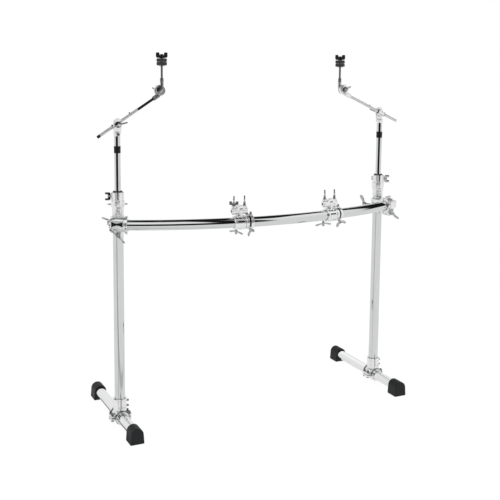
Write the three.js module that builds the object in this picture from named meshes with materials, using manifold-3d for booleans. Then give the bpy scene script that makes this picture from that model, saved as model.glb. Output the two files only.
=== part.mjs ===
// Drum rack frame: a curved bar clamped between two upright posts on tube legs, with a boom
// cymbal arm on each post and two tom clamps on the bar. Millimetres, +Z up, the audience at -Y.
// The origin is on the floor, in the middle of the four feet.
import * as THREE from "three";
import { mergeVertices } from "three/addons/utils/BufferGeometryUtils.js";
import Module from "manifold-3d";

const wasm = await Module();
wasm.setup();

// Main tubes and the layout of the rack
const mainTube = { radius: 19.05, wall: 2 };
const postAheadOfFeet = 53;
const barHeight = 754;
const barArcRadius = 1338;
const barLength = 1230;
const postToBar = 54;
const legLength = 511;
const legTubeHeight = 31.5;

// Clearances and cuts
const slideClearance = 0.5;
const seatClearance = 0.3;
const splitGap = 2;
const sideGap = 0.4;
const cutOverrun = 5;
const weldTolerance = 0.001;

// Rubber foot on each end of a leg tube
const foot = { length: 55.5, endWall: 15.5, height: 57.5, archRadius: 23.5, soleWidth: 52 };

// T clamp: a collar for the post on a two-piece saddle for the leg tube
const tee = { collarRadius: 24.5, collarTop: 95, web: 5, saddleRadius: 26, saddleLength: 64 };
const teeEar = { reach: 38, length: 40, thickness: 8 };

// Right-angle clamp between a post and the bar
const clamp = { sleeveRadius: 26, sleeveBelow: 24, sleeveAbove: 22 };
const clampJaw = { halfHeight: 31, halfDepth: 24.5, outerEnd: 21, roundFrom: 8, outerHeight: 24, innerEnd: 42 };
const clampFlange = { height: 33, thickness: 8 };
const clampWeb = { outer: 18, inner: 30, height: 44 };
const postEar = { reach: 39, boltReach: 32, boltRise: -2, halfDepth: 9, halfHeight: 9 };
const barEar = { middle: 9, width: 24, depth: 14, boltDrop: 33, bottomDrop: 42, topDrop: 20 };
const hinge = { rise: 33, radius: 4.5, pinRadius: 2, jawKnuckle: 14, width: 34 };

// Mast socket over the post's top
const socket = { bottom: 778, sleeveRadius: 21, sleeveHeight: 27, flareHeight: 9, flareRadius: 24.5 };
const socketCollar = { radius: 22.7, shoulder: 58, top: 87, chamfer: 2 };
const postIntoSocket = 46;
const rightSocketRaise = 8;
const leftSocketTurn = -16;
const rightSocketTurn = 147;
const collarBolt = { height: 71, bossRadius: 7.5, bossReach: 23.5 };
const rearBolt = { height: 35, bossRadius: 8, bossReach: 27 };

// Mast, boom tilter and boom
const mast = { radius: 11.1, wall: 1.5, length: 470 };
const tilterPivotHeight = 1104.5;
const rightMastRaise = 21;
const tilterSleeve = { radius: 13.4, bottom: 40.5, top: 27, tubeDepth: 10.5 };
const tilterDrum = { radius: 16, rise: 6, depth: 13, faceAhead: 1.3, neckDrop: 32.5 };
const barrel = { radius: 14.5, depth: 16.5, faceBehind: 0.9, studRadius: 4, studReach: 30 };
const boom = { radius: 5.5, offset: 7.6, rear: 83, reach: 199, pinAt: 62, pinRadius: 2.5, pinReach: 9.5 };
const leftBoomAngle = 32.6;
const rightBoomAngle = 24.6;

// Ratchet tilter with the cymbal rod
const ratchet = { rise: 13, lowerRadius: 20, upperRadius: 17.8, faceBehind: 0.5, faceAhead: 0.9 };
const ratchetDepth = { lower: 14, upper: 11.2 };
const ratchetSleeve = { radius: 8, near: 10, far: 36, rodDepth: 20 };
const arm = { neckHalfWidth: 6.2, collarRadius: 6.5, collarBottom: 31, collarTop: 44, rodRadius: 3.8, threadRadius: 3 };
const armSetback = 6.5;
const leftArmOffset = 5;
const rightArmOffset = 13;
const felt = { radius: 17, bottom: 89.5, height: 25 };
const cymbalNut = { hubRadius: 5.5, hubHeight: 13, span: 38, rise: 22, thickness: 4, clear: 2.5 };

// Tom clamp: a lock ring and a split saddle on the bar, and a two-rod holder on top
const leftTomAngle = -6.3;
const rightTomAngle = 10.1;
const tomSaddle = { radius: 26, left: 27, right: 15, studRadius: 4, studRise: 5.5 };
const tomEar = { width: 24, thickness: 9, reach: 43, boltReach: 33 };
const tomRing = { radius: 25.5, start: 16, end: 45, bossRadius: 7.5, bossReach: 28, boltTilt: 38 };
const tomNeck = { radius: 12, gap: 3 };
const holder = { barrelRadius: 12.5, halfLength: 30, barrelRise: 42.5, rodRadius: 5.25 };
const holderDome = { radius: 21, shift: 4, halfDepth: 9 };
const holderBoss = { spread: 21, radius: 8, top: 63 };

// Bolts with cast wings: shank, hub and blades
const bolt = { radius: 4, clearance: 0.5 };
const largeWing = { hubRadius: 7, hubLength: 15, span: 73, rise: 25, thickness: 5 };
const collarWing = { hubRadius: 5.5, hubLength: 12, span: 28, rise: 21, thickness: 7 };
const middleWing = { hubRadius: 7, hubLength: 13, span: 62, rise: 22, thickness: 5 };
const holderWing = { hubRadius: 5.5, hubLength: 12, span: 48, rise: 31, thickness: 5 };
const ringWing = { hubRadius: 5.5, hubLength: 12, span: 40, rise: 22, thickness: 4.5 };
const flatWing = { hubRadius: 5.5, hubLength: 15, span: 74, rise: 12, thickness: 5 };
const ratchetWing = { hubRadius: 7, hubLength: 12, span: 42, rise: 20, thickness: 5 };
const postBoltStandoff = 26;
const tomBoltStandoff = 25;
const bladeLowShare = 0.22;
const bladeTopShare = 0.6;
const bladeTipShare = 0.6;
const bladeShoulderShare = 0.76;
const bladeWaistShare = 0.42;

// Facets
const tubeSides = 20;
const smallSides = 12;
const barSteps = 22;
const boreSteps = 4;
const curvePieces = 3;

// Places that follow from the sizes
const postY = -postAheadOfFeet;
const postArcRadius = barArcRadius - postToBar;
const barHalfAngle = barLength / 2 / barArcRadius;
const postAngle = barHalfAngle - clampJaw.outerEnd / barArcRadius;
const postX = postArcRadius * Math.sin(postAngle);
const arcCentreY = postY + postArcRadius * Math.cos(postAngle);
const tubeBore = mainTube.radius + slideClearance;
const boltBore = bolt.radius + bolt.clearance;
const socketTop = socket.bottom + socketCollar.top;
const legTubeEnd = legLength / 2 - foot.endWall - seatClearance;
const tomSaddleMiddle = (tomSaddle.right - tomSaddle.left) / 2;
const tomRingMiddle = (tomRing.start + tomRing.end) / 2;
const tomRingTilt = THREE.MathUtils.degToRad(180 - tomRing.boltTilt);

// Materials
function metal(colour, roughness) {
  return new THREE.MeshStandardMaterial({ color: colour, roughness, metalness: 1 });
}

function dull(colour, roughness) {
  return new THREE.MeshStandardMaterial({ color: colour, roughness, metalness: 0 });
}

const chromeTube = () => metal(0xdadbdc, 0.06);
const castChrome = () => metal(0xd2d3d4, 0.14);
const blackChrome = () => metal(0x26272a, 0.35);
const blackRubber = () => dull(0x282a2c, 0.75);
const greyFelt = () => dull(0x3b3b3c, 0.95);

// Solids from closed geometries
function solidOf(shape) {
  if (!shape.isBufferGeometry) return shape;
  const bare = shape.index ? shape.toNonIndexed() : shape.clone();
  bare.deleteAttribute("normal");
  bare.deleteAttribute("uv");
  const merged = mergeVertices(bare, weldTolerance);
  const vertProperties = merged.attributes.position.array;
  const triVerts = new Uint32Array(merged.index.array);
  const made = new wasm.Manifold(new wasm.Mesh({ numProp: 3, vertProperties, triVerts }));
  if (made.volume() > 0) return made;
  for (let i = 0; i < triVerts.length; i += 3) {
    [triVerts[i + 1], triVerts[i + 2]] = [triVerts[i + 2], triVerts[i + 1]];
  }
  return new wasm.Manifold(new wasm.Mesh({ numProp: 3, vertProperties, triVerts }));
}

function join(...shapes) {
  return shapes.map(solidOf).reduce((whole, next) => whole.add(next));
}

function cut(shape, ...cutters) {
  return cutters.map(solidOf).reduce((whole, next) => whole.subtract(next), solidOf(shape));
}

function common(shape, keeper) {
  return solidOf(shape).intersect(solidOf(keeper));
}

function piece(name, shape, material) {
  const found = solidOf(shape).getMesh();
  const geometry = new THREE.BufferGeometry();
  geometry.setAttribute("position", new THREE.BufferAttribute(new Float32Array(found.vertProperties), 3));
  geometry.setIndex(new THREE.BufferAttribute(new Uint32Array(found.triVerts), 1));
  geometry.computeVertexNormals();
  const mesh = new THREE.Mesh(geometry, material);
  mesh.name = name;
  return mesh;
}

// Simple closed shapes along an axis
function alongAxis(axis, geometry) {
  if (axis === "x") geometry.rotateZ(-Math.PI / 2);
  if (axis === "z") geometry.rotateX(Math.PI / 2);
  return geometry;
}

function cylinder(axis, radius, low, high, sides = tubeSides) {
  const made = new THREE.CylinderGeometry(radius, radius, high - low, sides);
  return alongAxis(axis, made.translate(0, (low + high) / 2, 0));
}

function turned(axis, points, sides = tubeSides) {
  const profile = points.map(([radius, height]) => new THREE.Vector2(radius, height));
  return alongAxis(axis, new THREE.LatheGeometry(profile, sides));
}

function tube(axis, radius, bore, low, high) {
  return turned(axis, [[bore, low], [radius, low], [radius, high], [bore, high], [bore, low]]);
}

function block(x, y, z) {
  const made = new THREE.BoxGeometry(x[1] - x[0], y[1] - y[0], z[1] - z[0]);
  return made.translate((x[0] + x[1]) / 2, (y[0] + y[1]) / 2, (z[0] + z[1]) / 2);
}

// A flat outline in X and Z, thickened along Y
function plate(outline, near, far) {
  const made = new THREE.ExtrudeGeometry(outline, {
    depth: far - near,
    bevelEnabled: false,
    curveSegments: curvePieces * 2,
  });
  return made.rotateX(Math.PI / 2).translate(0, far, 0);
}

// The bar's own curve, with its middle at the local origin and its centre on +Y
class BarArc extends THREE.Curve {
  constructor(halfAngle) {
    super();
    this.halfAngle = halfAngle;
  }

  getPoint(t, target = new THREE.Vector3()) {
    const angle = this.halfAngle * (2 * t - 1);
    return target.set(barArcRadius * Math.sin(angle), barArcRadius * (1 - Math.cos(angle)), 0);
  }
}

function ringPoints(radius) {
  const points = [];
  for (let i = 0; i < tubeSides; i += 1) {
    const angle = (2 * Math.PI * i) / tubeSides;
    points.push(new THREE.Vector2(radius * Math.cos(angle), radius * Math.sin(angle)));
  }
  return points;
}

function alongBar(radius, bore, halfLength, steps) {
  const section = new THREE.Shape(ringPoints(radius));
  if (bore > 0) section.holes.push(new THREE.Path(ringPoints(bore)));
  const path = new BarArc(halfLength / barArcRadius);
  return new THREE.ExtrudeGeometry(section, { steps, extrudePath: path, bevelEnabled: false });
}

function barBore(halfLength) {
  return alongBar(tubeBore, 0, halfLength + cutOverrun, boreSteps);
}

// Bolts: the axis is +Z, the seat under the hub is at 0, and the blades lie in X and Z
function bladePair(span, rise, thickness) {
  const half = span / 2;
  const low = rise * bladeLowShare;
  const top = rise * bladeTopShare;
  const outline = new THREE.Shape();
  outline.moveTo(0, low);
  outline.quadraticCurveTo(half * bladeTipShare, low, half, rise * bladeTipShare);
  outline.quadraticCurveTo(half, rise, half * bladeShoulderShare, rise);
  outline.quadraticCurveTo(half * bladeWaistShare, top, 0, top);
  outline.quadraticCurveTo(-half * bladeWaistShare, top, -half * bladeShoulderShare, rise);
  outline.quadraticCurveTo(-half, rise, -half, rise * bladeTipShare);
  outline.quadraticCurveTo(-half * bladeTipShare, low, 0, low);
  const made = new THREE.ExtrudeGeometry(outline, {
    depth: thickness,
    bevelEnabled: false,
    curveSegments: curvePieces,
  });
  return made.rotateX(Math.PI / 2).translate(0, thickness / 2, 0);
}

function wingBolt(size, shankLength, standoff = 0) {
  const blades = bladePair(size.span, size.rise, size.thickness).translate(0, 0, standoff);
  const hub = cylinder("z", size.hubRadius, standoff, standoff + size.hubLength, smallSides);
  const shank = cylinder("z", bolt.radius, -shankLength, standoff + size.hubLength / 2, smallSides);
  return join(blades, hub, shank);
}

function wingNut(size, studRadius, studReach) {
  const blades = bladePair(size.span, size.rise, size.thickness);
  const hub = cylinder("z", size.hubRadius, 0, size.hubLength, smallSides);
  const bore = cylinder("z", studRadius + bolt.clearance, -cutOverrun, studReach, smallSides);
  return cut(join(blades, hub), bore);
}

const up = new THREE.Vector3(0, 0, 1);

function aim(mesh, place, direction, turn = 0) {
  mesh.position.set(...place);
  mesh.quaternion.setFromUnitVectors(up, new THREE.Vector3(...direction));
  mesh.rotateZ(THREE.MathUtils.degToRad(turn));
  return mesh;
}

function group(...children) {
  const made = new THREE.Group();
  made.add(...children);
  return made;
}

// Leg: a tube from front to back with a rubber foot on each end
function footSolid() {
  const arch = foot.height - foot.archRadius;
  const outline = new THREE.Shape();
  outline.moveTo(-foot.soleWidth / 2, 0);
  outline.lineTo(foot.soleWidth / 2, 0);
  outline.lineTo(foot.archRadius, arch);
  outline.absarc(0, arch, foot.archRadius, 0, Math.PI, false);
  outline.closePath();
  const outerEnd = -legLength / 2;
  const innerEnd = outerEnd + foot.length;
  const bore = cylinder("y", mainTube.radius + seatClearance, outerEnd + foot.endWall, innerEnd + cutOverrun);
  return cut(plate(outline, outerEnd, innerEnd), bore.translate(0, 0, legTubeHeight));
}

function leg(side) {
  const legTube = tube("y", mainTube.radius, mainTube.radius - mainTube.wall, -legTubeEnd, legTubeEnd);
  const front = piece(`${side}_front_foot`, footSolid(), blackRubber());
  const rear = piece(`${side}_rear_foot`, footSolid(), blackRubber());
  rear.rotation.z = Math.PI;
  return group(
    piece(`${side}_leg_tube`, legTube.translate(0, 0, legTubeHeight), chromeTube()),
    front,
    rear,
  );
}

// T clamp, in a frame with the post's axis at the local origin on the floor
function teeSaddle() {
  const half = tee.saddleLength / 2;
  const shell = cylinder("y", tee.saddleRadius, -half, half);
  const ears = block(
    [-teeEar.reach, teeEar.reach],
    [-teeEar.length / 2, teeEar.length / 2],
    [-teeEar.thickness - splitGap / 2, teeEar.thickness + splitGap / 2],
  );
  return join(shell, ears).translate([0, 0, legTubeHeight]);
}

function teeHalf(low, high) {
  const reach = teeEar.reach + cutOverrun;
  const keeper = block([-reach, reach], [-reach, reach], [low, high]);
  return common(teeSaddle(), keeper);
}

function teeClamp(side) {
  const legBore = cylinder("y", tubeBore, -tee.saddleLength, tee.saddleLength).translate(0, 0, legTubeHeight);
  const postSeat = legTubeHeight + mainTube.radius + tee.web;
  const upper = cut(
    join(
      teeHalf(legTubeHeight + splitGap / 2, tee.collarTop),
      cylinder("z", tee.collarRadius, legTubeHeight + mainTube.radius, tee.collarTop),
    ),
    legBore,
    cylinder("z", tubeBore, postSeat, tee.collarTop + cutOverrun),
  );
  const lower = cut(teeHalf(0, legTubeHeight - splitGap / 2), legBore);
  return group(
    piece(`${side}_tee_clamp`, upper, castChrome()),
    piece(`${side}_tee_strap`, lower, castChrome()),
  );
}

function post(side) {
  const low = legTubeHeight + mainTube.radius + tee.web + seatClearance;
  const high = socket.bottom + postIntoSocket;
  return piece(
    `${side}_post`,
    tube("z", mainTube.radius, mainTube.radius - mainTube.wall, low, high),
    chromeTube(),
  );
}

// Right-angle clamp, in a frame on the post's axis at the bar's height with the bar at -Y.
// The jaw's flanged end is at +X times the hand, which is the side of the bar's middle.
function clampShell(hand) {
  const shell = turned("x", [
    [0, -clampJaw.outerEnd],
    [clampJaw.outerHeight, -clampJaw.outerEnd],
    [(clampJaw.outerHeight + clampJaw.halfHeight) / 2, (-clampJaw.outerEnd * 3 - clampJaw.roundFrom) / 4],
    [clampJaw.halfHeight, -clampJaw.roundFrom],
    [clampJaw.halfHeight, clampJaw.innerEnd - clampFlange.thickness],
    [clampFlange.height, clampJaw.innerEnd - clampFlange.thickness],
    [clampFlange.height, clampJaw.innerEnd],
    [0, clampJaw.innerEnd],
  ]);
  shell.scale(1, clampJaw.halfDepth / clampJaw.halfHeight, 1);
  return turnedBy(hand, shell.translate(0, -postToBar, 0));
}

// A shape made for the left side, mirrored for the right side's hand
function turnedBy(hand, shape) {
  return hand < 0 ? solidOf(shape).mirror([1, 0, 0]) : solidOf(shape);
}

function barPath() {
  return solidOf(barBore(clampJaw.innerEnd)).translate([0, -postToBar, 0]);
}

function frontKeeper(from, to) {
  const reach = clampJaw.innerEnd + cutOverrun;
  return block([-reach, reach], [from, to], [-reach, reach]);
}

function barBoltBore() {
  const reach = postToBar + barEar.depth + cutOverrun;
  const bore = cylinder("y", boltBore + splitGap / 2, -reach, 0, smallSides);
  return bore.translate(barEar.middle, 0, -barEar.boltDrop);
}

function earBlock(near, far) {
  const half = barEar.width / 2;
  return block([barEar.middle - half, barEar.middle + half], [near, far], [-barEar.bottomDrop, -barEar.topDrop]);
}

function knuckle(radius, from, to) {
  return cylinder("x", radius, from, to, smallSides).translate(barEar.middle, -postToBar, hinge.rise);
}

function clampBody(side, hand) {
  const back = -postToBar + splitGap / 2;
  const backHalf = common(clampShell(1), frontKeeper(back, 0));
  const sleeve = cylinder("z", clamp.sleeveRadius, -clamp.sleeveBelow, clamp.sleeveAbove);
  const web = block([-clampWeb.outer, clampWeb.inner], [back, 0], [-clampWeb.height / 2, clampWeb.height / 2 - splitGap]);
  const earEnds = (reach) => (hand > 0 ? [-reach, 0] : [0, reach]);
  const postEars = block(
    earEnds(postEar.reach),
    [-postEar.halfDepth, postEar.halfDepth],
    [postEar.boltRise - postEar.halfHeight, postEar.boltRise + postEar.halfHeight],
  );
  const jawGap = hinge.jawKnuckle / 2;
  const knuckles = [
    knuckle(hinge.radius, -hinge.width / 2, -jawGap - sideGap),
    knuckle(hinge.radius, jawGap + sideGap, hinge.width / 2),
    knuckle(hinge.pinRadius, -hinge.width / 2, hinge.width / 2),
  ];
  const slit = block(
    earEnds(postEar.reach + cutOverrun),
    [-splitGap / 2, splitGap / 2],
    [-clampJaw.halfHeight, clampJaw.halfHeight],
  );
  const earBolt = cylinder("y", boltBore, -postEar.halfDepth - cutOverrun, postEar.halfDepth + cutOverrun, smallSides);
  const shell = cut(
    join(backHalf, sleeve, web, postEars, earBlock(back, back + barEar.depth)),
    cylinder("z", tubeBore, -clampJaw.halfHeight - cutOverrun, clampJaw.halfHeight + cutOverrun),
    barPath(),
    slit,
    earBolt.translate(-hand * postEar.boltReach, 0, postEar.boltRise),
    barBoltBore(),
    knuckle(hinge.radius + sideGap, -jawGap - sideGap, jawGap + sideGap),
  );
  return piece(`${side}_clamp_body`, turnedBy(hand, join(shell, ...knuckles)), castChrome());
}

function barJaw(side, hand) {
  const front = -postToBar - splitGap / 2;
  const frontHalf = common(clampShell(1), frontKeeper(-postToBar - clampJaw.innerEnd, front));
  const jawGap = hinge.jawKnuckle / 2;
  const bodyKnuckle = hinge.radius + sideGap;
  const jaw = cut(
    join(frontHalf, earBlock(front - barEar.depth, front), knuckle(hinge.radius, -jawGap, jawGap)),
    barPath(),
    barBoltBore(),
    knuckle(bodyKnuckle, -hinge.width / 2 - sideGap, -jawGap),
    knuckle(bodyKnuckle, jawGap, hinge.width / 2 + sideGap),
    knuckle(hinge.pinRadius + sideGap, -jawGap - cutOverrun, jawGap + cutOverrun),
  );
  return piece(`${side}_bar_jaw`, turnedBy(hand, jaw), castChrome());
}

function rightAngleClamp(side, hand, turns) {
  const jawFace = -postToBar - splitGap / 2 - barEar.depth - seatClearance;
  const barBolt = wingBolt(largeWing, barEar.depth * 2 - splitGap);
  const postBolt = wingBolt(largeWing, postEar.halfDepth * 2 - splitGap, postBoltStandoff);
  return group(
    clampBody(side, hand),
    barJaw(side, hand),
    aim(
      piece(`${side}_bar_wing_bolt`, barBolt, castChrome()),
      [hand * barEar.middle, jawFace, -barEar.boltDrop],
      [0, -1, 0],
      turns.bar,
    ),
    aim(
      piece(`${side}_post_wing_bolt`, postBolt, castChrome()),
      [-postEar.boltReach, postEar.halfDepth + seatClearance, postEar.boltRise],
      [0, 1, 0],
      turns.post,
    ),
  );
}

// Mast socket, in a frame on the post's axis with the collar bolt at -X
function socketBody(side, hasRearBolt) {
  const flareTop = socket.sleeveHeight + socket.flareHeight;
  const outside = turned("z", [
    [0, 0],
    [socket.sleeveRadius, 0],
    [socket.sleeveRadius, socket.sleeveHeight],
    [socket.flareRadius, flareTop],
    [socket.flareRadius, socketCollar.shoulder - socketCollar.chamfer],
    [socketCollar.radius, socketCollar.shoulder],
    [socketCollar.radius, socketCollar.top - socketCollar.chamfer],
    [socketCollar.radius - socketCollar.chamfer, socketCollar.top],
    [0, socketCollar.top],
  ]).translate(0, 0, socket.bottom);
  const collarBoss = cylinder("x", collarBolt.bossRadius, -collarBolt.bossReach, 0, smallSides);
  const collarHole = cylinder("x", boltBore, -collarBolt.bossReach - cutOverrun, 0, smallSides);
  const rearBoss = cylinder("y", rearBolt.bossRadius, 0, rearBolt.bossReach, smallSides);
  const rearHole = cylinder("y", boltBore, 0, rearBolt.bossReach + cutOverrun, smallSides);
  const bosses = [collarBoss.translate(0, 0, socket.bottom + collarBolt.height)];
  const holes = [collarHole.translate(0, 0, socket.bottom + collarBolt.height)];
  if (hasRearBolt) {
    bosses.push(rearBoss.translate(0, 0, socket.bottom + rearBolt.height));
    holes.push(rearHole.translate(0, 0, socket.bottom + rearBolt.height));
  }
  const postTop = socket.bottom + postIntoSocket + seatClearance;
  return piece(
    `${side}_mast_socket`,
    cut(
      join(outside, ...bosses),
      cylinder("z", mainTube.radius + seatClearance, socket.bottom - cutOverrun, postTop),
      cylinder("z", mast.radius + slideClearance, postTop - cutOverrun, socketTop + cutOverrun),
      ...holes,
    ),
    castChrome(),
  );
}

function mastSocket(side, hasRearBolt) {
  const collarShank = collarBolt.bossReach - mast.radius - sideGap;
  const parts = [
    socketBody(side, hasRearBolt),
    aim(
      piece(`${side}_socket_wing_bolt`, wingBolt(collarWing, collarShank), castChrome()),
      [-collarBolt.bossReach - seatClearance, 0, socket.bottom + collarBolt.height],
      [-1, 0, 0],
    ),
  ];
  if (hasRearBolt) {
    const rearShank = rearBolt.bossReach - mainTube.radius - sideGap;
    parts.push(
      aim(
        piece(`${side}_rear_wing_bolt`, wingBolt(largeWing, rearShank), castChrome()),
        [0, rearBolt.bossReach + seatClearance, socket.bottom + rearBolt.height],
        [0, 1, 0],
      ),
    );
  }
  return group(...parts);
}

// Mast and tilter, in a frame on the mast's axis with the tilter's pivot at the local origin
function mastTube(side) {
  const high = -tilterSleeve.bottom + tilterSleeve.tubeDepth;
  return piece(
    `${side}_mast`,
    tube("z", mast.radius, mast.radius - mast.wall, high - mast.length, high),
    chromeTube(),
  );
}

function tilterBody(side) {
  const near = -tilterDrum.faceAhead - tilterDrum.depth;
  const far = -tilterDrum.faceAhead;
  const outline = new THREE.Shape();
  outline.moveTo(-tilterSleeve.radius, -tilterDrum.neckDrop);
  outline.lineTo(tilterSleeve.radius, -tilterDrum.neckDrop);
  outline.lineTo(tilterDrum.radius, tilterDrum.rise);
  outline.absarc(0, tilterDrum.rise, tilterDrum.radius, 0, Math.PI, false);
  outline.closePath();
  const sleeve = cylinder("z", tilterSleeve.radius, -tilterSleeve.bottom, -tilterSleeve.top);
  const seatTop = -tilterSleeve.bottom + tilterSleeve.tubeDepth + seatClearance;
  const seat = cylinder("z", mast.radius + seatClearance, -tilterSleeve.bottom - cutOverrun, seatTop);
  const hole = cylinder("y", barrel.studRadius + bolt.clearance, near - cutOverrun, far + cutOverrun, smallSides);
  return piece(
    `${side}_tilter_body`,
    cut(join(plate(outline, near, far), sleeve), seat, hole),
    castChrome(),
  );
}

function tilterWingNut(side, turn) {
  const studEnd = barrel.studReach - tilterDrum.faceAhead - tilterDrum.depth;
  return aim(
    piece(`${side}_tilter_wing_nut`, wingNut(middleWing, barrel.studRadius, studEnd), castChrome()),
    [0, -tilterDrum.faceAhead - tilterDrum.depth - seatClearance, 0],
    [0, -1, 0],
    turn,
  );
}

// Boom, in a frame with the pivot at the local origin and the rod along X
function rodBarrel(side) {
  const disc = cylinder("y", barrel.radius, -barrel.faceBehind, barrel.depth - barrel.faceBehind);
  const stud = cylinder("y", barrel.studRadius, -barrel.studReach + sideGap, 0, smallSides);
  const rodHole = cylinder("x", boom.radius + slideClearance, -barrel.radius * 2, barrel.radius * 2);
  return piece(
    `${side}_rod_barrel`,
    join(cut(disc, rodHole.translate(0, boom.offset, 0)), stud),
    castChrome(),
  );
}

function boomRod(side) {
  const front = boom.reach - ratchetSleeve.far + ratchetSleeve.rodDepth;
  const rod = cylinder("x", boom.radius, -boom.rear, front, tubeSides);
  const stopPin = cylinder("z", boom.pinRadius, 0, boom.pinReach, smallSides).translate(boom.pinAt, 0, 0);
  return piece(`${side}_boom_rod`, join(rod, stopPin).translate([0, boom.offset, 0]), chromeTube());
}

function ratchetLower(side) {
  const back = ratchetDepth.lower - ratchet.faceBehind;
  const disc = cylinder("y", ratchet.lowerRadius, -ratchet.faceBehind, back);
  const sleeve = cylinder("x", ratchetSleeve.radius, -ratchetSleeve.far, -ratchetSleeve.near, smallSides);
  const rodSeat = cylinder(
    "x",
    boom.radius + seatClearance,
    -ratchetSleeve.far - cutOverrun,
    -ratchetSleeve.far + ratchetSleeve.rodDepth + seatClearance,
  );
  const hole = cylinder("y", boltBore, -cutOverrun, back + cutOverrun, smallSides);
  return piece(
    `${side}_ratchet_lower`,
    cut(
      join(disc, sleeve.translate(0, boom.offset, -ratchet.rise)),
      rodSeat.translate(0, boom.offset, -ratchet.rise),
      hole,
    ).translate([boom.reach, 0, ratchet.rise]),
    castChrome(),
  );
}

function ratchetWingBolt(side, boomAngle) {
  const seat = ratchetDepth.lower - ratchet.faceBehind;
  const shank = seat + ratchet.faceAhead + ratchetDepth.upper / 2;
  return aim(
    piece(`${side}_ratchet_wing_bolt`, wingBolt(ratchetWing, shank), castChrome()),
    [boom.reach, seat + seatClearance, ratchet.rise],
    [0, 1, 0],
    90 - boomAngle,
  );
}

// Cymbal arm, in a frame with the ratchet's axis at the local origin and the rod upright
function ratchetUpper(side, offset) {
  const near = -ratchet.faceAhead - ratchetDepth.upper;
  const disc = cylinder("y", ratchet.upperRadius, near, -ratchet.faceAhead);
  const neck = block(
    [offset - arm.neckHalfWidth, offset + arm.neckHalfWidth],
    [near, -ratchet.faceAhead],
    [0, arm.collarBottom],
  );
  const feltTop = felt.bottom + felt.height;
  const rod = turned("z", [
    [0, arm.collarBottom],
    [arm.collarRadius, arm.collarBottom],
    [arm.collarRadius, arm.collarTop],
    [arm.rodRadius, arm.collarTop],
    [arm.rodRadius, felt.bottom - seatClearance],
    [arm.threadRadius, felt.bottom - seatClearance],
    [arm.threadRadius, feltTop + cymbalNut.hubHeight],
    [0, feltTop + cymbalNut.hubHeight],
  ], smallSides);
  const holeDepth = ratchetDepth.upper - ratchet.faceAhead;
  const hole = cylinder("y", boltBore, -holeDepth, cutOverrun, smallSides);
  return piece(
    `${side}_cymbal_arm`,
    cut(join(disc, neck, rod.translate(offset, -armSetback, 0)), hole),
    castChrome(),
  );
}

function cymbalArm(side, offset) {
  const bore = arm.threadRadius + seatClearance;
  const feltTop = felt.bottom + felt.height;
  const washer = tube("z", felt.radius, bore, felt.bottom, feltTop);
  const nut = wingNut(
    {
      hubRadius: cymbalNut.hubRadius,
      hubLength: cymbalNut.hubHeight + cymbalNut.clear,
      span: cymbalNut.span,
      rise: cymbalNut.rise,
      thickness: cymbalNut.thickness,
    },
    arm.threadRadius,
    cymbalNut.hubHeight + cymbalNut.clear / 2,
  );
  return group(
    ratchetUpper(side, offset),
    piece(`${side}_cymbal_felt`, washer.translate(offset, -armSetback, 0), greyFelt()),
    aim(
      piece(`${side}_cymbal_wing_nut`, nut, blackChrome()),
      [offset, -armSetback, feltTop + seatClearance],
      [0, 0, 1],
    ),
  );
}

function mastAndBoom(side, boomAngle, raise, offset, nutTurn) {
  const angle = THREE.MathUtils.degToRad(boomAngle);
  const boomGroup = group(
    rodBarrel(side),
    boomRod(side),
    ratchetLower(side),
    ratchetWingBolt(side, boomAngle),
  );
  boomGroup.rotation.y = -angle;
  const armGroup = cymbalArm(side, offset);
  armGroup.position.x = boom.reach * Math.cos(angle) - ratchet.rise * Math.sin(angle);
  armGroup.position.z = boom.reach * Math.sin(angle) + ratchet.rise * Math.cos(angle);
  const whole = group(mastTube(side), tilterBody(side), tilterWingNut(side, nutTurn), boomGroup, armGroup);
  whole.position.z = tilterPivotHeight + raise;
  return whole;
}

// Tom clamp, in a frame on the bar's axis with X along the bar and the audience at -Y
function tomRingPiece(side) {
  const ring = cylinder("x", tomRing.radius, tomRing.start, tomRing.end);
  const boss = cylinder("z", tomRing.bossRadius, 0, tomRing.bossReach, smallSides);
  const hole = cylinder("z", boltBore, 0, tomRing.bossReach + cutOverrun, smallSides);
  for (const shape of [boss, hole]) shape.rotateX(tomRingTilt).translate(tomRingMiddle, 0, 0);
  return piece(`${side}_tom_ring`, cut(join(ring, boss), barBore(tomRing.end), hole), castChrome());
}

function tomRingBolt(side, turn) {
  const shank = tomRing.bossReach - mainTube.radius - sideGap;
  const seat = tomRing.bossReach + seatClearance;
  const direction = new THREE.Vector3(0, 0, 1).applyEuler(new THREE.Euler(tomRingTilt, 0, 0));
  return aim(
    piece(`${side}_tom_ring_wing_bolt`, wingBolt(ringWing, shank), castChrome()),
    direction.clone().multiplyScalar(seat).setX(tomRingMiddle).toArray(),
    direction.toArray(),
    turn,
  );
}

function tomSaddlePiece(side) {
  const shell = cylinder("x", tomSaddle.radius, -tomSaddle.left, tomSaddle.right);
  const neckTop = tomSaddle.radius + tomNeck.gap;
  const neck = cylinder("z", tomNeck.radius, 0, neckTop);
  const stud = cylinder("z", tomSaddle.studRadius, 0, neckTop + tomSaddle.studRise, smallSides);
  const ears = block(
    [tomSaddleMiddle - tomEar.width / 2, tomSaddleMiddle + tomEar.width / 2],
    [0, tomEar.reach],
    [-tomEar.thickness, tomEar.thickness],
  );
  const slit = block(
    [-tomSaddle.left - cutOverrun, tomSaddle.right + cutOverrun],
    [0, tomEar.reach + cutOverrun],
    [-splitGap / 2, splitGap / 2],
  );
  const earBore = cylinder("z", boltBore, -tomEar.thickness - cutOverrun, tomEar.thickness + cutOverrun, smallSides);
  return piece(
    `${side}_tom_saddle`,
    cut(
      join(shell, neck.translate(tomSaddleMiddle, 0, 0), stud.translate(tomSaddleMiddle, 0, 0), ears),
      barBore(tomSaddle.left),
      slit,
      earBore.translate(tomSaddleMiddle, tomEar.boltReach, 0),
    ),
    castChrome(),
  );
}

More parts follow.
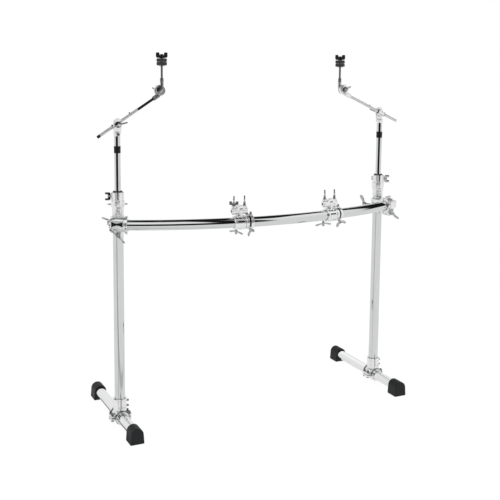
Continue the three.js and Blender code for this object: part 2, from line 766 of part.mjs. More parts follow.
function tomSaddleBolt(side, turn) {
  const bolted = wingBolt(flatWing, tomEar.thickness * 2 - splitGap, tomBoltStandoff);
  return aim(
    piece(`${side}_tom_saddle_wing_bolt`, bolted, castChrome()),
    [tomSaddleMiddle, tomEar.boltReach, -tomEar.thickness - seatClearance],
    [0, 0, -1],
    turn,
  );
}

function holderPiece(side) {
  const neckBottom = tomSaddle.radius + tomNeck.gap + sideGap;
  const neck = cylinder("z", tomNeck.radius, neckBottom, holder.barrelRise);
  const barrelBody = cylinder("x", holder.barrelRadius, -holder.halfLength, holder.halfLength);
  const outline = new THREE.Shape();
  outline.absarc(holderDome.shift, holder.barrelRise, holderDome.radius, 0, Math.PI, false);
  outline.closePath();
  const dome = plate(outline, -holderDome.halfDepth, holderDome.halfDepth);
  const studHole = cylinder("z", boltBore, 0, neckBottom + tomSaddle.studRise + sideGap, smallSides);
  const rodBore = cylinder("x", holder.rodRadius, -holder.halfLength - cutOverrun, holder.halfLength + cutOverrun);
  const solids = [neck, barrelBody.translate(0, 0, holder.barrelRise), dome];
  const holes = [studHole, rodBore.translate(0, 0, holder.barrelRise)];
  for (const x of [-holderBoss.spread, holderBoss.spread]) {
    const boss = cylinder("z", holderBoss.radius, holder.barrelRise, holderBoss.top, smallSides);
    const hole = cylinder("z", boltBore, holder.barrelRise, holderBoss.top + cutOverrun, smallSides);
    solids.push(boss.translate(x, 0, 0));
    holes.push(hole.translate(x, 0, 0));
  }
  return piece(`${side}_tom_holder`, cut(join(...solids), ...holes), castChrome());
}

function holderBolt(name, x, turn) {
  const shank = holderBoss.top - holder.barrelRise - holder.rodRadius - sideGap;
  const place = [x, 0, holderBoss.top + seatClearance];
  return aim(piece(name, wingBolt(holderWing, shank), castChrome()), place, [0, 0, 1], turn);
}

function tomClamp(side, angle, turns) {
  const top = group(
    holderPiece(side),
    holderBolt(`${side}_tom_outer_wing_bolt`, -Math.sign(-angle) * holderBoss.spread, turns.holder),
    holderBolt(`${side}_tom_inner_wing_bolt`, Math.sign(-angle) * holderBoss.spread, turns.holder),
  );
  top.position.x = tomSaddleMiddle;
  top.rotation.z = -THREE.MathUtils.degToRad(angle);
  const whole = group(
    tomRingPiece(side),
    tomRingBolt(side, turns.ring),
    tomSaddlePiece(side),
    tomSaddleBolt(side, turns.saddle),
    top,
  );
  return onArc(whole, THREE.MathUtils.degToRad(angle), barArcRadius, barHeight);
}

// A group at an angle along the bar, facing out from the bar's centre
function onArc(made, angle, radius, height) {
  made.position.set(radius * Math.sin(angle), arcCentreY - radius * Math.cos(angle), height);
  made.rotation.z = angle;
  return made;
}

function curvedBar() {
  const halfLength = barLength / 2;
  const swept = alongBar(mainTube.radius, mainTube.radius - mainTube.wall, halfLength, barSteps);
  const bar = piece("curved_bar", swept, chromeTube());
  bar.position.set(0, arcCentreY - barArcRadius, barHeight);
  return bar;
}

// One side of the rack: leg, post, clamps, socket and boom
function rackSide(side, boomAngle, raise, offset, turns) {
  const hand = side === "left" ? 1 : -1;
  const facing = side === "left" ? 0 : Math.PI;
  const x = -hand * postX;
  const legPart = leg(side);
  legPart.position.x = x;
  const upright = group(teeClamp(side), post(side));
  upright.position.set(x, postY, 0);
  const socketPart = mastSocket(side, side === "left");
  socketPart.position.set(x, postY, side === "left" ? 0 : rightSocketRaise);
  socketPart.rotation.z = THREE.MathUtils.degToRad(side === "left" ? leftSocketTurn : rightSocketTurn);
  const boomPart = mastAndBoom(side, boomAngle, raise, offset, turns.nut);
  boomPart.position.x = x;
  boomPart.position.y = postY;
  boomPart.rotation.z = facing;
  const clampPart = onArc(rightAngleClamp(side, hand, turns), -hand * postAngle, postArcRadius, barHeight);
  return group(legPart, upright, socketPart, boomPart, clampPart);
}

const rack = group(
  rackSide("left", leftBoomAngle, 0, leftArmOffset, { bar: -42, post: 14, nut: 17 }),
  rackSide("right", rightBoomAngle, rightMastRaise, rightArmOffset, { bar: -40, post: 78, nut: 27 }),
  curvedBar(),
  tomClamp("left", leftTomAngle, { holder: 65, saddle: 68, ring: 72 }),
  tomClamp("right", rightTomAngle, { holder: 60, saddle: 4, ring: 51 }),
);
rack.name = "drum_rack_frame";

export default rack;
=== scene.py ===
import math

import bmesh
import bpy
from mathutils import Matrix, Vector


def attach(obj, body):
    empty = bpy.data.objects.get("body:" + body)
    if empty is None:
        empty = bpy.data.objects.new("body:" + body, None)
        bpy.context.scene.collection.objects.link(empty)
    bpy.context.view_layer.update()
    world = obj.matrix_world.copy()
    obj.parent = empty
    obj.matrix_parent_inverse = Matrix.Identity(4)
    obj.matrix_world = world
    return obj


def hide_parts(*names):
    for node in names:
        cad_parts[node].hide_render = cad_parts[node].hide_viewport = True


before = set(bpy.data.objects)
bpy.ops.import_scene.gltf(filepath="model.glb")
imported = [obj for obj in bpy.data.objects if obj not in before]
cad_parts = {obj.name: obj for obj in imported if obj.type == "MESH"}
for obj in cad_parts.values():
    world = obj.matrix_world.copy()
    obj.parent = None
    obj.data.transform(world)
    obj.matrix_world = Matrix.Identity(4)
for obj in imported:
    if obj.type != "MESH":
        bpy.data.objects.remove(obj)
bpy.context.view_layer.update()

# Camera. It stands at the audience's left, a little above the bar's height, and looks slightly
# down at the whole rack. Part of the rack's rise in the picture comes from the lens shift.
standpoint = (-1.4855, -3.0868, 1.3421)
heading = 0.44409
downward = 0.13086
roll = 0.00840
ahead = Vector((math.sin(heading), math.cos(heading), 0)) * math.cos(downward)
ahead += Vector((0, 0, -1)) * math.sin(downward)
sideways = Vector((math.cos(heading), -math.sin(heading), 0))
upward = sideways.cross(ahead)
camera_right = sideways * math.cos(roll) + upward * math.sin(roll)
camera_up = upward * math.cos(roll) - sideways * math.sin(roll)
camera_turn = Matrix((camera_right, camera_up, -ahead)).transposed().to_4x4()
camera_data = bpy.data.cameras.new("camera")
camera_data.sensor_width = 36
camera_data.lens = 64.19376
camera_data.shift_x = 0.006
camera_data.shift_y = -0.15
camera = bpy.data.objects.new("camera", camera_data)
camera.matrix_world = Matrix.Translation(standpoint) @ camera_turn
bpy.context.scene.collection.objects.link(camera)
bpy.context.scene.camera = camera
bpy.context.scene.view_settings.view_transform = "Standard"


# Studio. A white room with dark places that the chrome shows as its black lines: a card behind
# the camera at eye height, a pillar on its right and a ceiling at the back. The floor is white, and
# the chrome also shows painted shadows on it.
def reckon(tree, operation, *values):
    step = tree.nodes.new("ShaderNodeMath")
    step.operation = operation
    for socket, value in zip(step.inputs, values):
        if isinstance(value, (int, float)):
            socket.default_value = value
        else:
            tree.links.new(value, socket)
    return step.outputs[0]


def product(tree, result, *factors):
    for factor in factors:
        result = reckon(tree, "MULTIPLY", result, factor)
    return result


def total(tree, result, *terms):
    for term in terms:
        result = reckon(tree, "ADD", result, term)
    return result


def difference(tree, first, second):
    return reckon(tree, "SUBTRACT", first, second)


def fade(tree, value, start, end):
    step = tree.nodes.new("ShaderNodeMapRange")
    step.interpolation_type = "SMOOTHSTEP"
    tree.links.new(value, step.inputs["Value"])
    step.inputs["From Min"].default_value = start
    step.inputs["From Max"].default_value = end
    return step.outputs["Result"]


def noise(tree, where, scale, detail):
    cloud = tree.nodes.new("ShaderNodeTexNoise")
    cloud.inputs["Scale"].default_value = scale
    cloud.inputs["Detail"].default_value = detail
    tree.links.new(where, cloud.inputs["Vector"])
    return cloud.outputs["Fac"]


room = bpy.data.worlds.new("room")
room.use_nodes = True
bpy.context.scene.world = room
tree = room.node_tree
tree.nodes.clear()
outlook = tree.nodes.new("ShaderNodeTexCoord").outputs["Generated"]
looking = tree.nodes.new("ShaderNodeSeparateXYZ")
tree.links.new(outlook, looking.inputs[0])
east, north, rise = looking.outputs
card_east, card_north = -0.4168, -0.9090
behind = total(tree, product(tree, east, card_east), product(tree, north, card_north))
across = difference(tree, product(tree, north, card_east), product(tree, east, card_north))
turn = reckon(tree, "ARCTAN2", across, behind)

card_lean = product(tree, fade(tree, rise, -0.05, -0.10), 0.28)
card_height = product(tree, fade(tree, rise, -0.170, -0.150), fade(tree, rise, 0.47, 0.39))
card_width = product(tree, fade(tree, turn, -0.86, -0.74), fade(tree, total(tree, turn, card_lean), 0.92, 0.80))
card = product(tree, card_height, card_width)
pillar_width = product(tree, fade(tree, turn, 0.44, 0.54), fade(tree, turn, 0.92, 0.80))
pillar = product(tree, pillar_width, fade(tree, rise, -0.04, 0.06))

eastern = fade(tree, east, 0.40, 0.60)
near_edge = product(tree, rise, difference(tree, 0.32, product(tree, eastern, 0.66)))
past_top = fade(tree, difference(tree, near_edge, behind), -0.04, 0.04)
far_edge = product(tree, behind, difference(tree, 0.86, product(tree, eastern, 0.20)))
above_back = fade(tree, total(tree, rise, far_edge), -0.03, 0.03)
ceiling = product(tree, past_top, above_back, fade(tree, north, 0.79, 0.72))
dark = reckon(tree, "MAXIMUM", reckon(tree, "MAXIMUM", card, pillar), ceiling)

overhead = product(tree, fade(tree, rise, 0.35, 0.6), 0.14)
tone = total(tree, overhead, 0.76, product(tree, noise(tree, outlook, 3.0, 2), 0.18))
seen_in_metal = product(tree, tone, difference(tree, 1.0, product(tree, dark, 0.99)))
rays = tree.nodes.new("ShaderNodeLightPath")
in_metal = product(tree, rays.outputs["Is Glossy Ray"], seen_in_metal)
in_air = difference(tree, 1.0, rays.outputs["Is Glossy Ray"])
to_camera = product(tree, in_air, rays.outputs["Is Camera Ray"])
on_surfaces = product(tree, difference(tree, in_air, to_camera), 0.8)
light = tree.nodes.new("ShaderNodeBackground")
light.inputs["Color"].default_value = (1, 1, 1, 1)
tree.links.new(total(tree, in_metal, to_camera, on_surfaces), light.inputs["Strength"])
tree.links.new(light.outputs[0], tree.nodes.new("ShaderNodeOutputWorld").inputs["Surface"])

sheet_half_width = 4.0
sheet_drop = 0.0004
sheet = bmesh.new()
bmesh.ops.create_grid(sheet, x_segments=1, y_segments=1, size=sheet_half_width)
bmesh.ops.translate(sheet, verts=sheet.verts[:], vec=(0, 0, -sheet_drop))
floor_mesh = bpy.data.meshes.new("floor")
sheet.to_mesh(floor_mesh)
sheet.free()
floor = bpy.data.objects.new("floor", floor_mesh)
bpy.context.scene.collection.objects.link(floor)
paper = bpy.data.materials.new("white_sheet")
paper.use_nodes = True
tree = paper.node_tree
tree.nodes.clear()
matt = tree.nodes.new("ShaderNodeBsdfDiffuse")
matt.inputs["Color"].default_value = (0.9, 0.9, 0.9, 1)
where = tree.nodes.new("ShaderNodeTexCoord").outputs["Object"]
spot = tree.nodes.new("ShaderNodeSeparateXYZ")
tree.links.new(where, spot.inputs[0])
floor_x, floor_y, _ = spot.outputs
# Painted shadows on the floor, seen only in the chrome: dark streaks fanning out from the post feet and a dark
# strip beside the left leg tube.
painted_shadow_streaks = 0.0
painted_streak_depth, painted_leg_shadow_depth = 0.36, 0.62
foot_y = -0.053
for foot_x, bearing in ((-0.5515, math.radians(-132)), (0.5515, math.radians(-155))):
    away_x = difference(tree, floor_x, foot_x)
    away_y = difference(tree, floor_y, foot_y)
    cosine, sine = math.cos(bearing), math.sin(bearing)
    outward = total(tree, product(tree, away_x, cosine), product(tree, away_y, sine))
    aside = difference(tree, product(tree, away_x, sine), product(tree, away_y, cosine))
    slant = reckon(tree, "ABSOLUTE", reckon(tree, "DIVIDE", aside, reckon(tree, "MAXIMUM", outward, 0.01)))
    painted_shadow_streaks = total(tree, painted_shadow_streaks, fade(tree, slant, 0.16, 0.04))
shade = total(tree, product(tree, noise(tree, where, 1.6, 3), 0.22), 0.74)
shade = difference(tree, shade, product(tree, painted_shadow_streaks, painted_streak_depth))
painted_leg_shadow_across = fade(tree, reckon(tree, "ABSOLUTE", total(tree, floor_x, 0.588)), 0.024, 0.012)
painted_leg_shadow_along = fade(tree, reckon(tree, "ABSOLUTE", floor_y), 0.26, 0.20)
shade = difference(tree, shade, product(tree, painted_leg_shadow_across, painted_leg_shadow_along, painted_leg_shadow_depth))
rays = tree.nodes.new("ShaderNodeLightPath")
from_camera, from_metal = rays.outputs["Is Camera Ray"], rays.outputs["Is Glossy Ray"]
glow = tree.nodes.new("ShaderNodeEmission")
glow.inputs["Color"].default_value = (1, 1, 1, 1)
bright = total(tree, product(tree, from_camera, 1.05), product(tree, from_metal, shade))
tree.links.new(bright, glow.inputs["Strength"])
blend_in = tree.nodes.new("ShaderNodeMixShader")
tree.links.new(product(tree, reckon(tree, "MAXIMUM", from_camera, from_metal), 0.88), blend_in.inputs[0])
tree.links.new(matt.outputs[0], blend_in.inputs[1])
tree.links.new(glow.outputs[0], blend_in.inputs[2])
tree.links.new(blend_in.outputs[0], tree.nodes.new("ShaderNodeOutputMaterial").inputs["Surface"])
floor_mesh.materials.append(paper)

lamp_aim = Vector((0, 0, 0.6))
lamp_size = 2.2
for place, power in (((-2.2, -2.6, 3.0), 26), ((2.4, -1.2, 2.8), 16)):
    lamp_data = bpy.data.lights.new("softbox", "AREA")
    lamp_data.size = lamp_size
    lamp_data.energy = power
    lamp = bpy.data.objects.new("softbox", lamp_data)
    lamp.location = place
    lamp.rotation_euler = (lamp_aim - Vector(place)).to_track_quat("-Z", "Y").to_euler()
    lamp.visible_glossy = False
    bpy.context.scene.collection.objects.link(lamp)


# Leg tubes. Two lengths of plated steel tube lie from front to back under the posts, open at
# both ends inside their rubber feet. The plating is mirror bright with faint polishing marks, and
# its tone is painted lighter than the same plating on the posts.
def plating(name, bright, dull, rough_low, rough_high, grain, ripple):
    made = bpy.data.materials.new(name)
    made.use_nodes = True
    tree = made.node_tree
    metal = tree.nodes["Principled BSDF"]
    metal.inputs["Metallic"].default_value = 1.0
    where = tree.nodes.new("ShaderNodeTexCoord").outputs["Object"]
    cloud = noise(tree, where, grain, 4)
    tones = tree.nodes.new("ShaderNodeMix")
    tones.data_type = "RGBA"
    tones.inputs["A"].default_value = (*bright, 1)
    tones.inputs["B"].default_value = (*dull, 1)
    tree.links.new(cloud, tones.inputs["Factor"])
    tree.links.new(tones.outputs["Result"], metal.inputs["Base Color"])
    polish = tree.nodes.new("ShaderNodeMapRange")
    polish.inputs["To Min"].default_value = rough_low
    polish.inputs["To Max"].default_value = rough_high
    tree.links.new(cloud, polish.inputs["Value"])
    tree.links.new(polish.outputs["Result"], metal.inputs["Roughness"])
    bump = tree.nodes.new("ShaderNodeBump")
    bump.inputs["Strength"].default_value = ripple
    bump.inputs["Distance"].default_value = 0.0004
    tree.links.new(noise(tree, where, grain * 2.5, 2), bump.inputs["Height"])
    tree.links.new(bump.outputs["Normal"], metal.inputs["Normal"])
    return made


def turned(outline, closed=False, sides=64):
    made = bmesh.new()
    points = [made.verts.new((radius, 0, height)) for radius, height in outline]
    pairs = list(zip(points, points[1:]))
    if closed:
        pairs.append((points[-1], points[0]))
    lines = [made.edges.new(pair) for pair in pairs]
    bmesh.ops.spin(
        made, geom=points + lines, cent=(0, 0, 0), axis=(0, 0, 1), angle=2 * math.pi, steps=sides, use_merge=True
    )
    bmesh.ops.remove_doubles(made, verts=made.verts[:], dist=0.00001)
    return made


def pipe(radius, bore, low, high, lip=0.0006, sides=64):
    outline = [
        (bore, low), (radius - lip, low), (radius, low + lip),
        (radius, high - lip), (radius - lip, high), (bore, high),
    ]
    return turned(outline, closed=True, sides=sides)


def along(axis, made):
    turn = Matrix.Rotation(math.pi / 2, 4, "Y") if axis == "X" else Matrix.Rotation(-math.pi / 2, 4, "X")
    bmesh.ops.transform(made, matrix=turn, verts=made.verts[:])
    return made


def shift(made, x=0.0, y=0.0, z=0.0):
    bmesh.ops.translate(made, verts=made.verts[:], vec=(x, y, z))
    return made


def gather(*parts):
    whole = bmesh.new()
    for part in parts:
        loose = bpy.data.meshes.new("loose")
        part.to_mesh(loose)
        part.free()
        whole.from_mesh(loose)
        bpy.data.meshes.remove(loose)
    return whole


def fit(name, made, place, finish, body, slot, *stands_for):
    bmesh.ops.transform(made, matrix=place, verts=made.verts[:])
    bmesh.ops.recalc_face_normals(made, faces=made.faces[:])
    for face in made.faces:
        face.smooth = True
    for edge in made.edges:
        edge.smooth = len(edge.link_faces) == 2 and edge.calc_face_angle(0) < sharp_angle
    mesh = bpy.data.meshes.new(name)
    made.to_mesh(mesh)
    made.free()
    mesh.materials.append(finish)
    piece = bpy.data.objects.new(name, mesh)
    bpy.context.scene.collection.objects.link(piece)
    flat_faces = piece.modifiers.new("flat_faces", "WEIGHTED_NORMAL")
    flat_faces.keep_sharp = True
    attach(piece, body)
    if stands_for:
        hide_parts(*stands_for)


sharp_angle = 0.6
tube_radius = 0.01905
tube_bore = 0.01705
post_x = 0.551486
post_y = -0.053
leg_height = 0.0315
leg_half_length = 0.2397
sides = {"left": -1, "right": 1}
# Painted light: the legs wear a lighter copy of the tube plating than the posts, bar and masts.
lit_tube_chrome = plating("lit_tube_chrome", (0.92, 0.922, 0.925), (0.86, 0.862, 0.865), 0.04, 0.08, 40, 0.02)
for side, sign in sides.items():
    leg_tube = along("Y", pipe(tube_radius, tube_bore, -leg_half_length, leg_half_length))
    place = Matrix.Translation((sign * post_x, 0, leg_height))
    fit(side + "_leg_tubing", leg_tube, place, lit_tube_chrome, side + "_leg", "chrome_tube", side + "_leg_tube")


# Rubber feet. Each leg end is pushed into a moulded charcoal rubber block with an arched top, a
# flat sole that is a little wider, softened edges and a shallow panel sunk into its outer end.
def carve(made, *cutters):
    carved = []
    for part in (made, *cutters):
        mesh = bpy.data.meshes.new("rough")
        bmesh.ops.recalc_face_normals(part, faces=part.faces[:])
        part.to_mesh(mesh)
        part.free()
        thing = bpy.data.objects.new("rough", mesh)
        bpy.context.scene.collection.objects.link(thing)
        carved.append(thing)
    for cutter in carved[1:]:
        cutting = carved[0].modifiers.new("cut", "BOOLEAN")
        cutting.operation = "DIFFERENCE"
        cutting.solver = "EXACT"
        cutting.object = cutter
    bpy.context.view_layer.update()
    seen = carved[0].evaluated_get(bpy.context.evaluated_depsgraph_get())
    result = bmesh.new()
    result.from_mesh(seen.to_mesh())
    seen.to_mesh_clear()
    for thing in carved:
        mesh = thing.data
        bpy.data.objects.remove(thing)
        bpy.data.meshes.remove(mesh)
    return result


def rod(radius, low, high, sides=40):
    made = bmesh.new()
    bmesh.ops.create_cone(
        made, cap_ends=True, segments=sides, radius1=radius, radius2=radius, depth=high - low
    )
    return shift(made, z=(low + high) / 2)


def ease(made, width, segments=2):
    corners = [edge for edge in made.edges if len(edge.link_faces) == 2 and edge.calc_face_angle() > sharp_angle]
    bmesh.ops.bevel(
        made, geom=corners, offset=width, affect="EDGES", segments=segments, profile=0.5, material=-1,
        clamp_overlap=True
    )
    return made


def thicken(made, depth):
    grown = bmesh.ops.extrude_face_region(made, geom=made.faces[:])
    fresh = [item for item in grown["geom"] if isinstance(item, bmesh.types.BMVert)]
    bmesh.ops.translate(made, verts=fresh, vec=(0, depth, 0))
    bmesh.ops.recalc_face_normals(made, faces=made.faces[:])
    return made


def coating(name, light_tone, dark_tone, rough_low, rough_high, grain, relief):
    made = plating(name, light_tone, dark_tone, rough_low, rough_high, grain, relief)
    surface = made.node_tree.nodes["Principled BSDF"]
    surface.inputs["Metallic"].default_value = 0.0
    surface.inputs["Specular IOR Level"].default_value = 0.22
    return made


def arch(radius, drop, foot_half, depth):
    made = bmesh.new()
    steps = 24
    angles = [math.pi * i / steps for i in range(steps + 1)]
    outline = [(radius * math.cos(angle), radius * math.sin(angle)) for angle in angles]
    outline += [(-foot_half, -drop), (foot_half, -drop)]
    made.faces.new([made.verts.new((x, 0, z)) for x, z in outline])
    return thicken(made, depth)


foot_length = 0.0555
foot_reach = 0.2555
foot_edge = 0.0032
arch_radius = 0.0235
arch_height = 0.034
sole_half_width = 0.026
panel_border = 0.0035
panel_depth = 0.0010
hole_radius = tube_radius + 0.0002
hole_start = 0.0155
rubber = coating("charcoal_rubber", (0.019, 0.020, 0.022), (0.010, 0.011, 0.012), 0.42, 0.62, 260, 0.35)
for side, sign in sides.items():
    for end, turn in (("front", 0), ("rear", math.pi)):
        block = shift(arch(arch_radius, arch_height, sole_half_width, foot_length), z=arch_height)
        ease(block, foot_edge, 3)
        outer = [max((face for face in block.faces if face.normal.y < -0.9), key=lambda face: face.calc_area())]
        bmesh.ops.inset_region(block, faces=outer, thickness=panel_border)
        bmesh.ops.translate(block, verts=outer[0].verts[:], vec=(0, panel_depth, 0))
        hole = along("Y", rod(hole_radius, hole_start, foot_length + 0.01))
        block = carve(block, shift(hole, z=leg_height))
        place = Matrix.Translation((sign * post_x, 0, 0)) @ Matrix.Rotation(turn, 4, "Z")
        place = place @ Matrix.Translation((0, -foot_reach, 0))
        fit(f"{side}_{end}_rubber_foot", block, place, rubber, side + "_leg", "black_rubber", f"{side}_{end}_foot")


# T clamps. A plated casting holds each post in a collar over a saddle on the leg tube. A strap
# closes the saddle from below, drawn up by four square-headed key bolts through the ears.
def brick(low, high, edge, segments=2):
    made = bmesh.new()
    low, high = Vector(low), Vector(high)
    bmesh.ops.create_cube(made, size=1)
    bmesh.ops.scale(made, verts=made.verts[:], vec=high - low)
    bmesh.ops.translate(made, verts=made.verts[:], vec=(low + high) / 2)
    return ease(made, edge, segments)


def keep_side(made, point, outward):
    cut = bmesh.ops.bisect_plane(
        made, geom=made.verts[:] + made.edges[:] + made.faces[:], plane_co=point, plane_no=outward, clear_outer=True
    )
    rim = [item for item in cut["geom_cut"] if isinstance(item, bmesh.types.BMEdge)]
    bmesh.ops.holes_fill(made, edges=rim)
    return made


def key_bolt(reach):
    washer = turned([
        (0, 0), (0.0052, 0), (0.0056, 0.0004), (0.0056, 0.0012), (0.0052, 0.0016), (0, 0.0016),
    ], sides=24)
    head = brick((-0.0032, -0.0032, 0.0014), (0.0032, 0.0032, 0.0090), 0.0006)
    shank = rod(0.0028, -reach, 0.002, 20)
    nut = bmesh.new()
    bmesh.ops.create_cone(nut, cap_ends=True, segments=6, radius1=0.0058, radius2=0.0058, depth=0.0045)
    return gather(washer, head, shank, shift(ease(nut, 0.0004), z=-reach + 0.0022))


def half_ring(radius, bore, low, high, lip, up):
    ring = shift(along("Y", pipe(radius, bore, low, high, lip)), z=leg_height)
    return keep_side(ring, (0, 0, leg_height + up * split_gap), (0, 0, -up))


def ear_plate(up):
    faces = sorted((leg_height + up * split_gap, leg_height + up * (split_gap + ear_thickness)))
    plate = brick((-0.038, -0.020, faces[0]), (0.038, 0.020, faces[1]), 0.0018)
    return carve(plate, shift(along("Y", rod(casting_bore, -0.04, 0.04)), z=leg_height))


casting_bore = 0.01955
casting_radius = 0.026
casting_lip = 0.0022
split_gap = 0.001
ear_thickness = 0.008
saddle_half_length = 0.032
collar_foot = 0.0555
ear_bolt_x = 0.0325
ear_bolt_y = 0.012
# Painted light: the castings wear a lighter, partly non-metal copy of the chrome plating, so they read whiter than
# the tubes.
cast_chrome = plating("cast_chrome", (0.96, 0.962, 0.965), (0.86, 0.862, 0.865), 0.12, 0.28, 70, 0.24)
cast_chrome.node_tree.nodes["Principled BSDF"].inputs["Metallic"].default_value = 0.80
# Painted shade and painted reflection: a near-black copy of the plating, as shade on teeth, grooves, rings,
# recesses and slots, and as a dark reflection on the left jaw panel and the left boom's plain shaft.
painted_shade_chrome = plating("painted_shade_chrome", (0.030, 0.030, 0.032), (0.014, 0.014, 0.015), 0.10, 0.24, 90, 0.3)
# Dark steel for key bolts, screws and cymbal stems; the same tone is painted shade on the tee's saddle rings and
# the left ratchet sleeve.
key_steel_and_shade = plating("key_steel_and_shade", (0.34, 0.345, 0.35), (0.16, 0.165, 0.17), 0.18, 0.38, 240, 0.3)
post_places = {side: Matrix.Translation((sign * post_x, post_y, 0)) for side, sign in sides.items()}
for side, place in post_places.items():
    body = side + "_tee"
    saddle_size = (casting_radius, casting_bore, -saddle_half_length, saddle_half_length, casting_lip)
    saddle = half_ring(*saddle_size, up=1)
    rib = carve(brick((-0.012, -0.029, 0.050), (0.012, 0.029, 0.071), 0.003), rod(casting_bore, collar_foot, 0.12))
    collar = pipe(0.0245, casting_bore, collar_foot, 0.101, 0.0018)
    band = pipe(0.0262, 0.022, 0.0915, 0.1005, 0.0012)
    split = brick((-0.0065, 0.018, 0.060), (0.0065, 0.0335, 0.098), 0.0015)
    tee = gather(saddle, ear_plate(up=1), rib, collar, band, split)
    fit(side + "_tee_casting", tee, place, cast_chrome, body, "cast_chrome", side + "_tee_clamp")
    # Painted shade: the rings at the saddle's ends are coloured dark steel.
    rings = [half_ring(0.0284, 0.0245, y - 0.003, y + 0.003, 0.0012, up=1) for y in (-0.0285, 0.0285)]
    fit(side + "_tee_rings", gather(*rings), place, key_steel_and_shade, body, "cast_chrome")
    strap = gather(half_ring(*saddle_size, up=-1), ear_plate(up=-1))
    fit(side + "_tee_strap_casting", strap, place, cast_chrome, body, "cast_chrome", side + "_tee_strap")
    ear_top = leg_height + split_gap + ear_thickness
    corners = [(x, y) for x in (-ear_bolt_x, ear_bolt_x) for y in (-ear_bolt_y, ear_bolt_y)]
    bolts = [shift(key_bolt(0.022), x=x, y=y, z=ear_top) for x, y in corners]
    bolts += [shift(along("X", key_bolt(0.004)), x=0.0243, z=z) for z in (0.067, 0.087)]
    fit(side + "_tee_key_bolts", gather(*bolts), place, key_steel_and_shade, body, "cast_chrome")


# Posts. Each is one straight length of the same plated tube, seated in the T clamp's collar
# and running up through the right-angle clamp into the mast socket.
post_foot = 0.0558
post_top = 0.824
# Painted shade: the posts, bar, masts and right boom wear a darker copy of the same tube plating as the legs.
shaded_tube_chrome = plating("shaded_tube_chrome", (0.755, 0.76, 0.765), (0.70, 0.705, 0.71), 0.03, 0.06, 40, 0.02)
for side, place in post_places.items():
    post_tube = pipe(tube_radius, tube_bore, post_foot, post_top)
    fit(side + "_post_tubing", post_tube, place, shaded_tube_chrome, side + "_upright", "chrome_tube", side + "_post")


# Curved bar. One tube bent to a single radius joins the posts and bows towards the audience.
# It is plated like the posts and its open ends stop just past the clamps.
bar_height = 0.754
arc_radius = 1.338
arc_centre_y = 1.106534
bar_half_length = 0.615
bar_half_angle = bar_half_length / arc_radius
section = bmesh.new()
bmesh.ops.create_circle(section, segments=64, radius=tube_radius)
bmesh.ops.create_circle(section, segments=64, radius=tube_bore)
bmesh.ops.bridge_loops(section, edges=section.edges[:])
shift(along("X", section), y=-arc_radius)
start = Matrix.Rotation(-bar_half_angle, 3, "Z")
bmesh.ops.rotate(section, verts=section.verts[:], matrix=start, cent=(0, 0, 0))
bmesh.ops.spin(
    section, geom=section.verts[:] + section.edges[:] + section.faces[:], cent=(0, 0, 0), axis=(0, 0, 1),
    angle=2 * bar_half_angle, steps=120
)
place = Matrix.Translation((0, arc_centre_y, bar_height))
fit("curved_bar_tubing", section, place, shaded_tube_chrome, "bar", "chrome_tube", "curved_bar")


# Right-angle clamps. A split sleeve grips the post and carries a split drum for the bar, whose
# front half is a hinged jaw with a flanged rim. Large wing bolts draw the jaw and the ears shut.
def on_bar(angle, radius=arc_radius):
    spot = Matrix.Translation((radius * math.sin(angle), arc_centre_y - radius * math.cos(angle), bar_height))
    return spot @ Matrix.Rotation(angle, 4, "Z")


def mirrored(made, hand):
    if hand < 0:
        bmesh.ops.scale(made, verts=made.verts[:], vec=(-1, 1, 1))
    return made


def drum_half(facing):
    outline = [
        (0, -0.0210), (0.0200, -0.0210), (0.0240, -0.0196), (0.0274, -0.0150), (0.0295, -0.0080), (0.0306, 0.0000),
        (0.0310, 0.0080), (0.0306, 0.0165), (0.0295, 0.0245), (0.0280, 0.0310), (0.0280, 0.0332), (0.0325, 0.0340),
        (0.0330, 0.0348), (0.0330, 0.0410), (0.0320, 0.0420), (0, 0.0420),
    ]
    shell = along("X", turned(outline))
    bmesh.ops.scale(shell, verts=shell.verts[:], vec=(1, drum_flattening, 1))
    shift(shell, y=-post_to_bar)
    half = keep_side(shell, (0, -post_to_bar - facing * split_gap, 0), (0, facing, 0))
    return carve(half, bar_bore())


def bar_bore():
    return shift(along("X", rod(bar_hole, -0.08, 0.08, 64)), y=-post_to_bar)


def knuckle(low, high, radius=0.0045, edge=0.0006):
    return shift(along("X", ease(rod(radius, low, high), edge)), x=hinge_x, y=-post_to_bar, z=hinge_z)


spread_wings = (
    (0, 0.20), (0.30, 0.21), (0.58, 0.28), (0.84, 0.44), (0.97, 0.60), (1.0, 0.78), (0.95, 0.94),
    (0.84, 1.0), (0.70, 0.96), (0.52, 0.80), (0.34, 0.66), (0.16, 0.60), (0, 0.60),
)


def wing_blades(span, rise, thick, shares=spread_wings):
    made = bmesh.new()
    made.faces.new([made.verts.new((x * span / 2, 0, z * rise)) for x, z in shares])
    bmesh.ops.mirror(made, geom=made.verts[:] + made.edges[:] + made.faces[:], axis="X", merge_dist=0.0001)
    return ease(thicken(shift(made, y=-thick / 2), thick), thick * 0.28)


def threaded(radius, low, high):
    outline = [(0, low), (radius * 0.8, low)]
    pitch = 0.00125
    turns = int((high - low) / pitch)
    for i in range(turns):
        outline.append((radius, low + pitch * (i + 0.4)))
        outline.append((radius * 0.86, low + pitch * (i + 0.9)))
    outline.append((0, low + pitch * turns))
    return turned(outline, sides=20)


def wing_bolt(hub, hub_length, span, rise, thick, shank, standoff=0.0, shares=spread_wings):
    blades = shift(wing_blades(span, rise, thick, shares), z=standoff)
    low, high = standoff, standoff + hub_length
    boss = turned([
        (0, low), (hub * 0.86, low), (hub, low + 0.0008), (hub, low + hub_length * 0.22),
        (hub * 0.88, low + hub_length * 0.36), (hub * 0.88, high - 0.0018), (hub * 0.66, high), (0, high),
    ], sides=32)
    return gather(blades, boss, threaded(stud_radius, -shank, standoff + 0.002))


def aimed(place, direction, turn=0.0):
    towards = Vector((0, 0, 1)).rotation_difference(Vector(direction)).to_matrix().to_4x4()
    return Matrix.Translation(place) @ towards @ Matrix.Rotation(math.radians(turn), 4, "Z")


